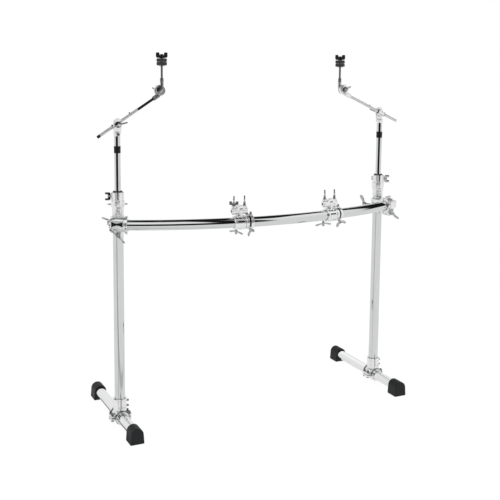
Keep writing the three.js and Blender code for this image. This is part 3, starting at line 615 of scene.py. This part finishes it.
post_to_bar = 0.054
end_past_post = 0.021
post_angle = (bar_half_length - end_past_post) / arc_radius
bar_hole = 0.0198
drum_flattening = 0.79
rim_radius = 0.033
hinge_x = 0.009
hinge_z = 0.033
jaw_bolt_x = 0.009
jaw_bolt_z = -0.033
stud_radius = 0.0038
# Painted shade: the wing bolts and cymbal rods wear a darker copy of the cast chrome plating.
shaded_wing_chrome = plating("shaded_wing_chrome", (0.58, 0.585, 0.59), (0.40, 0.405, 0.41), 0.10, 0.26, 90, 0.3)
large_wing = dict(hub=0.007, hub_length=0.015, span=0.073, rise=0.025, thick=0.005)
clamp_turns = {"left": (-42, 14), "right": (-40, 78)}
for side, sign in sides.items():
    hand = -sign
    place = on_bar(sign * post_angle, arc_radius - post_to_bar)
    back_face, front_face = -post_to_bar + split_gap, -post_to_bar - split_gap
    web = brick((-0.018, back_face, -0.022), (0.030, 0, 0.020), 0.003)
    web = carve(web, rod(casting_bore, -0.05, 0.05), bar_bore())
    bolt_ear = brick((-0.003, back_face, -0.042), (0.021, -0.039, -0.020), 0.003)
    knuckles = [knuckle(-0.017, -0.0074), knuckle(0.0074, 0.017)]
    pin = knuckle(-0.0182, 0.0182, 0.002, 0.0005)
    moulded = [mirrored(part, hand) for part in (drum_half(-1), web, bolt_ear, *knuckles, pin)]
    sleeve = pipe(casting_radius, casting_bore, -0.024, 0.022, casting_lip)
    sleeve_rings = [pipe(0.0272, 0.024, low, low + 0.0060, 0.0014) for low in (-0.0238, 0.0158)]
    post_ears = carve(
        brick((-0.039, -0.009, -0.011), (-0.010, 0.009, 0.007), 0.003),
        rod(0.0245, -0.05, 0.05), brick((-0.05, -0.001, -0.03), (0, 0.001, 0.03), 0.0001),
    )
    body = gather(*moulded, sleeve, *sleeve_rings, post_ears)
    fit(side + "_clamp_casting", body, place, cast_chrome, side + "_clamp", "cast_chrome", side + "_clamp_body")

    jaw_ear = brick((-0.003, -post_to_bar - 0.015, -0.042), (0.021, front_face, -0.020), 0.003)
    pad = brick((-0.0170, -post_to_bar - 0.0254, -0.0110), (0.0300, -post_to_bar - 0.0160, 0.0190), 0.0024, 3)
    jaw = gather(*[mirrored(part, hand) for part in (drum_half(1), jaw_ear, knuckle(-0.007, 0.007), pad)])
    fit(side + "_jaw_casting", jaw, place, cast_chrome, side + "_jaw", "cast_chrome", side + "_bar_jaw")
    waisted = (
        (-0.0125, -0.0092), (0.0035, -0.0038), (0.0115, -0.0038), (0.0275, -0.0092),
        (0.0275, 0.0092), (0.0115, 0.0038), (0.0035, 0.0038), (-0.0125, 0.0092),
    )
    panel = bmesh.new()
    panel.faces.new([panel.verts.new((x, -post_to_bar - 0.0262, z + 0.0065)) for x, z in waisted])
    ease(thicken(panel, 0.004), 0.0004)
    # Painted reflection: the left jaw panel is coloured near black, while the right one stays cast chrome.
    panel_shaded_on_left = painted_shade_chrome if side == "left" else cast_chrome
    fit(side + "_jaw_panel", mirrored(panel, hand), place, panel_shaded_on_left, side + "_jaw", "cast_chrome")
    screws = []
    for z in (-0.023, -0.008, 0.008, 0.023):
        front_of_rim = -post_to_bar - drum_flattening * math.sqrt(rim_radius ** 2 - z ** 2)
        screw = along("Y", ease(rod(0.0024, -0.0010, 0.0030, 16), 0.0004))
        screws.append(mirrored(shift(screw, x=0.038, y=front_of_rim, z=z), hand))
    fit(side + "_jaw_screws", gather(*screws), place, key_steel_and_shade, side + "_jaw", "cast_chrome")

    bar_turn, post_turn = clamp_turns[side]
    bar_bolt = wing_bolt(shank=0.026, **large_wing)
    spot = place @ aimed((hand * jaw_bolt_x, -post_to_bar - 0.0153, jaw_bolt_z), (0, -1, 0), bar_turn)
    fit(side + "_bar_wing", bar_bolt, spot, shaded_wing_chrome, side + "_bar_bolt", "cast_chrome", side + "_bar_wing_bolt")
    post_bolt = wing_bolt(shank=0.016, standoff=0.026, **large_wing)
    spot = place @ aimed((-0.032, 0.0093, -0.002), (0, 1, 0), post_turn)
    fit(
        side + "_post_wing", post_bolt, spot, shaded_wing_chrome, side + "_post_bolt", "cast_chrome",
        side + "_post_wing_bolt"
    )


# Mast sockets. A casting flares over the post's top and narrows to a collar for the mast. A
# small wing bolt pinches the mast, and a black nylon bush lines the mouth of the collar.
socket_heights = {"left": 0.778, "right": 0.786}
socket_turns = {"left": math.radians(-16), "right": math.radians(147)}
pinch_height = 0.071
key_bearing = 0.45
slit_shade_bearing = 0.28
# Black nylon for the bush and washers; the same black is painted shade in the collar's split.
black_nylon_and_shade = coating("black_nylon_and_shade", (0.030, 0.030, 0.032), (0.015, 0.015, 0.017), 0.35, 0.5, 300, 0.2)
forked_wings = (
    (0, 0.06), (0.70, 0.06), (0.92, 0.14), (1.0, 0.30), (1.0, 0.88), (0.90, 0.99), (0.56, 1.0), (0.44, 0.90),
    (0.40, 0.62), (0.30, 0.48), (0, 0.44),
)
collar_wing = dict(hub=0.0055, hub_length=0.012, span=0.030, rise=0.022, thick=0.009, shares=forked_wings)
for side in sides:
    body = side + "_upright"
    upright = post_places[side] @ Matrix.Translation((0, 0, socket_heights[side]))
    place = upright @ Matrix.Rotation(socket_turns[side], 4, "Z")
    shell = turned([
        (0.01935, 0), (0.0200, 0), (0.0210, 0.0010), (0.0210, 0.0255), (0.0216, 0.0285), (0.0238, 0.0345),
        (0.0245, 0.0375), (0.0245, 0.0545), (0.0240, 0.0556), (0.0220, 0.0560), (0.0220, 0.0576),
        (0.0227, 0.0582), (0.0227, 0.0850), (0.0207, 0.0870), (0.0116, 0.0870), (0.0116, 0.0463), (0.01935, 0.0463),
    ], closed=True)
    collar_boss = shift(along("X", ease(rod(0.0075, -0.0235, -0.0150), 0.0008)), z=pinch_height)
    boss_ring = shift(along("X", pipe(0.0090, 0.0070, -0.0232, -0.0212, 0.0004, 32)), z=pinch_height)
    if side == "left":
        far_boss = shift(along("Y", ease(rod(0.008, 0.018, 0.027), 0.0008)), z=0.035)
    else:
        far_boss = shift(along("X", ease(rod(0.0085, 0.015, 0.0275), 0.0012)), z=pinch_height)
    socket = gather(shell, collar_boss, boss_ring, far_boss)
    fit(side + "_socket_casting", socket, place, cast_chrome, body, "cast_chrome", side + "_mast_socket")
    bush = pipe(0.0170, 0.01125, 0.0872, 0.0898)
    fit(side + "_socket_bush", bush, place, black_nylon_and_shade, body, "black_rubber")
    blades = shift(wing_blades(0.013, 0.013, 0.0030), z=0.004)
    key = gather(blades, turned([(0, 0), (0.0026, 0), (0.0026, 0.0090), (0.0018, 0.0100), (0, 0.0100)], sides=20))
    spot = upright @ Matrix.Rotation(-key_bearing, 4, "Z") @ Matrix.Translation((0.004, -0.0222, 0.0080))
    fit(side + "_socket_key", key, spot, cast_chrome, body, "cast_chrome")
    # Painted shade: a black strip stands for the shade in the collar's split.
    slot = brick((-0.0019, -0.0231, 0.0600), (0.0019, -0.0200, 0.0872), 0.0003)
    spot = upright @ Matrix.Rotation(-slit_shade_bearing, 4, "Z")
    fit(side + "_collar_slit_shade", slot, spot, black_nylon_and_shade, body, "black_rubber")
    bolt = wing_bolt(shank=0.0120, **collar_wing)
    spot = place @ aimed((-0.0238, 0, pinch_height), (-1, 0, 0), 9)
    fit(
        side + "_collar_wing", bolt, spot, shaded_wing_chrome, side + "_socket_bolt", "cast_chrome",
        side + "_socket_wing_bolt"
    )
    if side == "left":
        bolt = wing_bolt(shank=0.0075, **large_wing)
        spot = place @ aimed((0, 0.0273, 0.035), (0, 1, 0))
        fit("left_rear_wing", bolt, spot, shaded_wing_chrome, "left_rear_bolt", "cast_chrome", "left_rear_wing_bolt")


# Masts. A thinner plated tube slides in each socket, with a plain black band a hand's width
# below its top and the tilter's sleeve pressed on above it.
mast_radius = 0.0111
mast_foot, mast_top = -0.500, -0.030
band_foot, band_top = -0.1010, -0.0760
pivots = {"left": Vector((-post_x, post_y, 1.1045)), "right": Vector((post_x, post_y, 1.1255))}
black_paint = coating("black_band", (0.012, 0.012, 0.013), (0.006, 0.006, 0.007), 0.22, 0.36, 120, 0.1)
for side in sides:
    place = Matrix.Translation(pivots[side])
    mast_tube = pipe(mast_radius, 0.0096, mast_foot, mast_top)
    fit(side + "_mast_tubing", mast_tube, place, shaded_tube_chrome, side + "_mast_tube", "chrome_tube", side + "_mast")
    ring = pipe(mast_radius + 0.0008, mast_radius - 0.0001, band_foot, band_top, 0.0004)
    fit(side + "_mast_band", ring, place, black_paint, side + "_mast_tube", "black_metal")


# Boom tilters. A cast head on the mast carries a round barrel that the boom rod passes
# through. Toothed faces meet between them and a wing nut on the barrel's stud locks the tilt.
def toothed(radius, low, high, teeth):
    made = bmesh.new()
    bmesh.ops.create_cone(made, cap_ends=True, segments=teeth * 2, radius1=radius, radius2=radius, depth=high - low)
    hollows = [v for v in made.verts if round(math.atan2(v.co.y, v.co.x) * teeth / math.pi) % 2]
    bmesh.ops.scale(made, verts=hollows, vec=(0.94, 0.94, 1))
    return along("Y", shift(made, z=(low + high) / 2))


boom_angles = {"left": math.radians(32.6), "right": math.radians(24.6)}
facings = {"left": 0.0, "right": math.pi}
nut_turns = {"left": 17, "right": 27}
boom_offset = 0.0076
plate_taper = 0.14
head_places = {side: Matrix.Translation(pivots[side]) @ Matrix.Rotation(facings[side], 4, "Z") for side in sides}
boom_places = {side: head_places[side] @ Matrix.Rotation(-boom_angles[side], 4, "Y") for side in sides}
for side in sides:
    body, place = side + "_tilter", head_places[side]
    washer = along("Y", pipe(0.0108, 0.0060, -0.0152, -0.0138, 0.0004, 40))
    fit(side + "_tilter_washer", washer, place, black_nylon_and_shade, body, "black_rubber")
    # Painted shade: the toothed faces between head and barrel are coloured near black.
    fit(side + "_tilter_teeth", toothed(0.0153, -0.0022, -0.0010, 36), place, painted_shade_chrome, body, "cast_chrome")
    plate = shift(arch(0.016, 0.0385, 0.0131, 0.0125), y=-0.0143, z=0.006)
    for corner in plate.verts:
        if corner.co.y < -0.014:
            corner.co.y += (0.022 - corner.co.z) * plate_taper
    ease(plate, 0.0022, 3)
    neck = turned([
        (0.01115, -0.0405), (0.0116, -0.0405), (0.0120, -0.0400),
        (0.0134, -0.0285), (0.0126, -0.0268), (0.01115, -0.0268),
    ], closed=True)
    boss = along("Y", ease(rod(0.0095, -0.0146, -0.0105), 0.0006))
    head = gather(plate, neck, boss)
    fit(side + "_tilter_casting", head, place, cast_chrome, body, "cast_chrome", side + "_tilter_body")
    screw = along("Y", key_bolt(0.002))
    bmesh.ops.transform(screw, matrix=Matrix.Rotation(math.pi, 4, "Z"), verts=screw.verts[:])
    shift(screw, y=-0.0128, z=-0.0345)
    fit(side + "_tilter_key_screw", screw, place, key_steel_and_shade, body, "cast_chrome")
    hub = turned([
        (0, 0), (0.0062, 0), (0.0070, 0.0008), (0.0070, 0.0040),
        (0.0060, 0.0056), (0.0060, 0.0112), (0.0042, 0.0130), (0, 0.0130),
    ], sides=32)
    nut = gather(wing_blades(0.062, 0.022, 0.005), hub)
    spot = place @ aimed((0, -0.0146, 0), (0, -1, 0), nut_turns[side])
    fit(
        side + "_tilter_wing", nut, spot, shaded_wing_chrome, side + "_tilter_nut", "cast_chrome",
        side + "_tilter_wing_nut"
    )

    body, place = side + "_barrel", boom_places[side]
    # Painted shade: the rings at the barrel's ends are coloured near black.
    ends = [
        shift(along("X", pipe(0.0083, 0.0062, x - 0.0012, x + 0.0012, 0.0004, 40)), y=boom_offset)
        for x in (-0.0158, 0.0158)
    ]
    fit(side + "_barrel_rings", gather(*ends), place, painted_shade_chrome, body, "cast_chrome")
    disc = along("Y", turned([
        (0, -0.0009), (0.0140, -0.0009), (0.0145, -0.0004), (0.0145, 0.0036),
        (0.0132, 0.0056), (0.0100, 0.0072), (0, 0.0076),
    ]))
    disc = carve(disc, shift(along("X", rod(0.006, -0.03, 0.03)), y=boom_offset))
    stud = along("Y", threaded(stud_radius, -0.0295, 0.0))
    seat = shift(along("X", pipe(0.0078, 0.0060, -0.0168, 0.0168, 0.0010, 40)), y=boom_offset)
    barrel = gather(disc, stud, seat)
    fit(side + "_barrel_casting", barrel, place, cast_chrome, body, "cast_chrome", side + "_rod_barrel")


# Boom rods. A solid rod, knurled from its rear end to past the barrel so the barrel can bite,
# then plain plated to the ratchet, with a stop pin on its way and a cap or tip on the rear end.
def knurled_steel():
    made = plating("knurled_steel", (0.84, 0.842, 0.845), (0.62, 0.622, 0.625), 0.26, 0.40, 700, 0.3)
    tree = made.node_tree
    where = tree.nodes.new("ShaderNodeTexCoord").outputs["Object"]
    grooves = []
    for turn in (0.7, -0.7):
        lie = tree.nodes.new("ShaderNodeMapping")
        lie.inputs["Rotation"].default_value = (0, turn, 0.6)
        tree.links.new(where, lie.inputs["Vector"])
        wave = tree.nodes.new("ShaderNodeTexWave")
        wave.inputs["Scale"].default_value = 260
        tree.links.new(lie.outputs["Vector"], wave.inputs["Vector"])
        grooves.append(wave.outputs["Fac"])
    bump = tree.nodes.new("ShaderNodeBump")
    bump.inputs["Strength"].default_value = 0.22
    bump.inputs["Distance"].default_value = 0.0003
    tree.links.new(product(tree, *grooves), bump.inputs["Height"])
    tree.links.new(bump.outputs["Normal"], tree.nodes["Principled BSDF"].inputs["Normal"])
    return made


knurl = knurled_steel()
stop_pin_x = 0.062
cap_outline = [
    (0, -0.0829), (0.0034, -0.0829), (0.0050, -0.0822), (0.0055, -0.0806), (0.0055, -0.0724), (0.0050, -0.0718),
    (0, -0.0718),
]
tip_outline = [(0, -0.0828), (0.0042, -0.0828), (0.0053, -0.0818), (0.0053, -0.0722), (0, -0.0722)]
boom_details = {
    # Painted reflection: the left boom's plain shaft is coloured near black; the right one wears the darker tube
    # plating.
    "left": (0.0940, painted_shade_chrome, "cap", cap_outline, rubber, "black_rubber"),
    "right": (0.1600, shaded_tube_chrome, "tip", tip_outline, shaded_tube_chrome, "chrome_tube"),
}
for side, place in boom_places.items():
    body = side + "_boom"
    knurl_end, shaft_painted_tone, end_name, end_outline, end_finish, end_slot = boom_details[side]
    plain = along("X", turned([
        (0, -0.080), (0.0046, -0.080), (0.0048, -0.0795), (0.0048, 0.1828), (0, 0.1828),
    ], sides=40))
    pin = shift(ease(rod(0.0022, 0.0, 0.0095, 20), 0.0006), x=stop_pin_x)
    shaft = shift(gather(plain, pin), y=boom_offset)
    fit(side + "_boom_shaft", shaft, place, shaft_painted_tone, body, "chrome_tube", side + "_boom_rod")
    rough = shift(along("X", pipe(0.0053, 0.0047, -0.0720, knurl_end, sides=40)), y=boom_offset)
    fit(side + "_boom_knurl", rough, place, knurl, body, "chrome_tube")
    end = shift(along("X", turned(end_outline, sides=32)), y=boom_offset)
    fit(f"{side}_boom_{end_name}", end, place, end_finish, body, end_slot)


# Ratchets and cymbal arms. Two toothed discs meet at the boom's end, the lower one on a sleeve
# over the rod, the upper one with a neck for the cymbal rod. A wing bolt at the back locks them.
arm_offsets = {"left": 0.005, "right": 0.013}
boom_reach = 0.199
ratchet_rise = 0.013
arm_y = -0.0065
ratchet_wing = dict(hub=0.007, hub_length=0.012, span=0.042, rise=0.020, thick=0.005)
cymbal_places = {}
for side, boom_place in boom_places.items():
    angle = boom_angles[side]
    body = side + "_boom"
    place = boom_place @ Matrix.Translation((boom_reach, 0, ratchet_rise))
    sleeve = along("X", turned([
        (0.0056, -0.0360), (0.0070, -0.0360), (0.0078, -0.0352), (0.0080, -0.0300), (0.0080, -0.0100), (0, -0.0100),
        (0, -0.0155), (0.0056, -0.0155),
    ], closed=True, sides=40))
    shift(sleeve, y=boom_offset, z=-ratchet_rise)
    # Painted shade: the left ratchet sleeve is coloured dark steel, while the right one stays cast chrome.
    sleeve_painted_tone = key_steel_and_shade if side == "left" else cast_chrome
    fit(side + "_ratchet_sleeve", sleeve, place, sleeve_painted_tone, body, "cast_chrome")
    disc = along("Y", turned([
        (0, -0.0004), (0.0185, -0.0004), (0.0185, 0.0022), (0.0200, 0.0034), (0.0200, 0.0100), (0.0186, 0.0122),
        (0.0150, 0.0135), (0, 0.0135),
    ]))
    lower = gather(disc, toothed(0.0196, -0.0004, 0.0024, 40))
    fit(side + "_ratchet_casting", lower, place, cast_chrome, body, "cast_chrome", side + "_ratchet_lower")
    washer = along("Y", pipe(0.0104, 0.0060, 0.0130, 0.0142, 0.0003, 40))
    fit(side + "_ratchet_washer", washer, place, black_nylon_and_shade, body, "black_rubber")
    bolt = wing_bolt(shank=0.018, **ratchet_wing)
    spot = boom_place @ aimed((boom_reach, 0.0138, ratchet_rise), (0, 1, 0), 90 - math.degrees(angle))
    fit(
        side + "_ratchet_wing", bolt, spot, shaded_wing_chrome, side + "_ratchet_bolt", "cast_chrome",
        side + "_ratchet_wing_bolt"
    )

    body, offset = side + "_arm", arm_offsets[side]
    place = place @ Matrix.Rotation(angle, 4, "Y")
    cymbal_places[side] = place @ Matrix.Translation((offset, arm_y, 0))
    upper = along("Y", turned([
        (0, -0.0121), (0.0135, -0.0121), (0.0165, -0.0110), (0.0178, -0.0090), (0.0178, -0.0036), (0.0165, -0.0028),
        (0, -0.0009),
    ]))
    cover_outline = [(0, -0.0124), (0.0070, -0.0124), (0.0078, -0.0120), (0.0078, -0.0100), (0, -0.0100)]
    cover = along("Y", turned(cover_outline, sides=32))
    neck = brick((offset - 0.0060, -0.0119, 0.004), (offset + 0.0060, -0.0011, 0.0312), 0.0028, 3)
    arm = gather(upper, cover, neck)
    fit(side + "_cymbal_rod", arm, place, shaded_wing_chrome, body, "cast_chrome", side + "_cymbal_arm")
    stem = turned([
        (0, 0.0300), (0.0060, 0.0300), (0.0065, 0.0308), (0.0065, 0.0432), (0.0058, 0.0440), (0.0040, 0.0444),
        (0.0040, 0.0868), (0.0075, 0.0872), (0.0120, 0.0874), (0.0120, 0.0888), (0.0030, 0.0890), (0.0030, 0.1030),
        (0, 0.1030),
    ], sides=40)
    stem = shift(gather(stem, threaded(0.0029, 0.1000, 0.1270)), x=offset, y=arm_y)
    fit(side + "_cymbal_stem", stem, place, key_steel_and_shade, body, "cast_chrome")
    # Painted shade: the ratchet's teeth and its two grooves are coloured near black.
    grooves = [
        along("Y", pipe(outer, inner, -0.0126, -0.0100, 0.0003))
        for outer, inner in ((0.0146, 0.0130), (0.0098, 0.0082))
    ]
    grips = gather(toothed(0.0186, -0.0034, -0.0010, 40), *grooves)
    fit(side + "_ratchet_teeth", grips, place, painted_shade_chrome, body, "cast_chrome")


# Cymbal felts. Two thick discs of pressed wool, one on the other round the rod, held down by
# a black wing nut with upright ears.
nut_height = 0.1148
wool = coating("grey_felt", (0.050, 0.050, 0.052), (0.016, 0.016, 0.017), 0.88, 0.98, 900, 0.9)
wool.node_tree.nodes["Principled BSDF"].inputs["Sheen Weight"].default_value = 0.12
wool.node_tree.nodes["Principled BSDF"].inputs["Sheen Roughness"].default_value = 0.6
black_metal = coating("black_plating", (0.010, 0.010, 0.011), (0.005, 0.005, 0.006), 0.28, 0.42, 150, 0.2)
for side, place in cymbal_places.items():
    discs = [
        turned([
            (0.0032, low), (0.0168, low), (0.0180, low + 0.0012), (0.0187, low + 0.0050), (0.0187, low + 0.0078),
            (0.0178, low + 0.0112), (0.0166, low + 0.0122), (0.0032, low + 0.0122),
        ], closed=True, sides=48)
        for low in (0.0896, 0.1022)
    ]
    fit(side + "_felt_discs", gather(*discs), place, wool, side + "_arm", "grey_felt", side + "_cymbal_felt")
    hub = turned([
        (0.0031, 0), (0.0080, 0), (0.0084, 0.0006), (0.0084, 0.0022),
        (0.0058, 0.0034), (0.0055, 0.0140), (0.0046, 0.0150), (0.0031, 0.0150),
    ], closed=True, sides=32)
    nut = gather(wing_blades(0.043, 0.021, 0.007, forked_wings), hub)
    spot = place @ Matrix.Translation((0, 0, nut_height))
    fit(
        side + "_cymbal_wing", nut, spot, black_metal, side + "_cymbal_nut", "black_metal",
        side + "_cymbal_wing_nut"
    )


# Tom clamps. A lock ring and a ribbed split saddle sit on the bar side by side. The saddle
# carries a domed holder with a cross bore for a tom's rod and two tall wing bolts that grip it.
tom_angles = {"left": math.radians(-6.3), "right": math.radians(10.1)}
tom_turns = {"left": (65, 68, 72), "right": (60, 4, 51)}
ring_tilt = math.radians(142)
ring_middle = 0.0305
holder_x = -0.006
cross_height = 0.0425
boss_x = 0.021
small_hub = dict(hub=0.0055, hub_length=0.012)
saddle_marks = (
    (-0.0240, -0.0160, 0.0017, 0.80), (-0.0125, -0.0025, 0.0017, 0.80),
    (0.0025, 0.0115, 0.0017, 0.80), (-0.0170, 0.0065, 0.0024, 0.28),
)
for side, sign in sides.items():
    angle = tom_angles[side]
    body, place = side + "_lock", on_bar(angle)
    holder_turn, saddle_turn, ring_turn = tom_turns[side]
    tilted = Matrix.Rotation(ring_tilt, 4, "X")
    # Painted shade: a near-black ring sits in the lock ring's groove.
    groove = along("X", pipe(0.0250, 0.0240, 0.0276, 0.0334, 0.0002))
    fit(side + "_lock_groove_shade", groove, place, painted_shade_chrome, body, "cast_chrome")
    collar = along("X", turned([
        (0.0196, 0.0160), (0.0235, 0.0160), (0.0255, 0.0178), (0.0255, 0.0265), (0.0245, 0.0272), (0.0245, 0.0338),
        (0.0255, 0.0345), (0.0255, 0.0432), (0.0235, 0.0450), (0.0196, 0.0450),
    ], closed=True))
    boss = ease(rod(0.0075, 0.0215, 0.0280), 0.0008)
    bmesh.ops.transform(boss, matrix=tilted, verts=boss.verts[:])
    latch = brick((0.0175, -0.0060, 0.0235), (0.0435, 0.0060, 0.0290), 0.0015)
    ring = gather(collar, shift(boss, x=ring_middle), latch)
    fit(side + "_lock_casting", ring, place, cast_chrome, body, "cast_chrome", side + "_tom_ring")
    catch = gather(*[shift(key_bolt(0.004), x=x, z=0.0285) for x in (0.0235, 0.0375)])
    fit(side + "_lock_key_bolts", catch, place, key_steel_and_shade, body, "cast_chrome")
    down = tilted @ Vector((0, 0, 1))
    bolt = wing_bolt(span=0.040, rise=0.022, thick=0.0045, shank=0.0085, **small_hub)
    spot = place @ aimed(Vector((ring_middle, 0, 0)) + down * 0.0283, down, ring_turn)
    fit(
        side + "_lock_wing", bolt, spot, shaded_wing_chrome, side + "_lock_bolt", "cast_chrome",
        side + "_tom_ring_wing_bolt"
    )

    # Painted shade: near-black patches on the saddle's face stand for the shade in its recesses.
    body = side + "_saddle"
    recesses = []
    for low, high, half, up in saddle_marks:
        recess = brick((low, -0.0264, -half), (high, -0.0240, half), 0.0003)
        bmesh.ops.rotate(recess, verts=recess.verts[:], matrix=Matrix.Rotation(-up, 3, "X"))
        recesses.append(recess)
    fit(side + "_saddle_recess_shade", gather(*recesses), place, painted_shade_chrome, body, "cast_chrome")
    shell = along("X", turned([
        (0.0196, -0.0270), (0.0240, -0.0270), (0.0260, -0.0252), (0.0260, -0.0200), (0.0246, -0.0192),
        (0.0246, -0.0150), (0.0260, -0.0142), (0.0260, -0.0098), (0.0246, -0.0090), (0.0246, -0.0030),
        (0.0260, -0.0022), (0.0260, 0.0022), (0.0246, 0.0030), (0.0246, 0.0070), (0.0260, 0.0078),
        (0.0260, 0.0132), (0.0240, 0.0150), (0.0196, 0.0150),
    ], closed=True))
    shell = carve(shell, brick((-0.04, 0.01, -0.001), (0.03, 0.04, 0.001), 0.0001))
    saddle_ears = [
        carve(brick((-0.018, 0.018, low), (0.006, 0.043, high), 0.0028), along("X", rod(0.0200, -0.05, 0.05, 48)))
        for low, high in ((-0.009, -0.001), (0.001, 0.009))
    ]
    stub = shift(turned([
        (0, 0.021), (0.0140, 0.021), (0.0126, 0.0240), (0.0120, 0.0262), (0.0120, 0.0285), (0.0115, 0.0290),
        (0.0040, 0.0290), (0.0040, 0.0345), (0, 0.0345),
    ]), x=holder_x)
    saddle = gather(shell, *saddle_ears, stub)
    fit(side + "_saddle_casting", saddle, place, cast_chrome, body, "cast_chrome", side + "_tom_saddle")
    bolt = wing_bolt(hub=0.0055, hub_length=0.015, span=0.074, rise=0.012, thick=0.005, shank=0.016, standoff=0.025)
    face_down = Matrix.Rotation(math.pi, 4, "Y") @ Matrix.Rotation(math.radians(saddle_turn), 4, "Z")
    spot = place @ Matrix.Translation((holder_x, 0.033, -0.0093)) @ face_down
    fit(
        side + "_saddle_wing", bolt, spot, shaded_wing_chrome, side + "_saddle_bolt", "cast_chrome",
        side + "_tom_saddle_wing_bolt"
    )

    body = side + "_holder"
    top = place @ Matrix.Translation((holder_x, 0, 0)) @ Matrix.Rotation(-angle, 4, "Z")
    neck = turned([
        (0.0046, 0.0294), (0.0112, 0.0294), (0.0120, 0.0302), (0.0120, 0.0425), (0, 0.0425), (0, 0.0356),
        (0.0046, 0.0356),
    ], closed=True)
    cross = shift(along("X", turned([
        (0.00525, -0.0300), (0.0108, -0.0300), (0.0125, -0.0284), (0.0125, -0.0150), (0.0118, -0.0142),
        (0.0118, 0.0142), (0.0125, 0.0150), (0.0125, 0.0284), (0.0108, 0.0300), (0.00525, 0.0300),
    ], closed=True)), z=cross_height)
    dome = bmesh.new()
    bmesh.ops.create_circle(dome, cap_ends=True, segments=64, radius=0.021)
    bmesh.ops.rotate(dome, verts=dome.verts[:], matrix=Matrix.Rotation(math.pi / 2, 3, "X"))
    disc = dome.verts[:] + dome.edges[:] + dome.faces[:]
    bmesh.ops.bisect_plane(dome, geom=disc, plane_no=(0, 0, 1), clear_inner=True)
    ease(thicken(shift(dome, x=0.004, y=-0.009, z=cross_height), 0.018), 0.0026, 3)
    dome = carve(dome, shift(along("X", rod(0.0054, -0.04, 0.04)), z=cross_height))
    boss_outline = [(0, 0.0480), (0.0080, 0.0480), (0.0080, 0.0615), (0.0066, 0.0630), (0, 0.0630)]
    bosses = [shift(turned(boss_outline, sides=32), x=x) for x in (-boss_x, boss_x)]
    boss_bands = [shift(pipe(0.0088, 0.0070, 0.0560, 0.0600, sides=32), x=x) for x in (-boss_x, boss_x)]
    holder = gather(neck, cross, dome, *bosses, *boss_bands)
    fit(side + "_holder_casting", holder, top, cast_chrome, body, "cast_chrome", side + "_tom_holder")
    # Painted shade: a near-black strip stands for the shade in the holder's slot.
    slot = brick((-0.002, -0.0104, 0.0488), (0.010, -0.0086, 0.0520), 0.0005)
    fit(side + "_holder_slot_shade", slot, top, painted_shade_chrome, body, "cast_chrome")
    for name, x in (("outer", sign * boss_x), ("inner", -sign * boss_x)):
        bolt = wing_bolt(span=0.048, rise=0.031, thick=0.005, shank=0.0148, **small_hub)
        spot = top @ Matrix.Translation((x, 0, 0.0633)) @ Matrix.Rotation(math.radians(holder_turn), 4, "Z")
        node = f"{side}_tom_{name}_wing_bolt"
        fit(f"{side}_{name}_wing", bolt, spot, shaded_wing_chrome, f"{side}_{name}_bolt", "cast_chrome", node)
        if (side, name) == ("left", "outer"):
            lock_nut = wing_bolt(
                hub=0.0065, hub_length=0.005, span=0.033, rise=0.015, thick=0.005, shank=0.0, shares=forked_wings
            )
            aside = spot @ Matrix.Rotation(math.radians(-90), 4, "Z")
            fit("left_outer_lock_nut", lock_nut, aside, key_steel_and_shade, "left_outer_bolt", "cast_chrome")
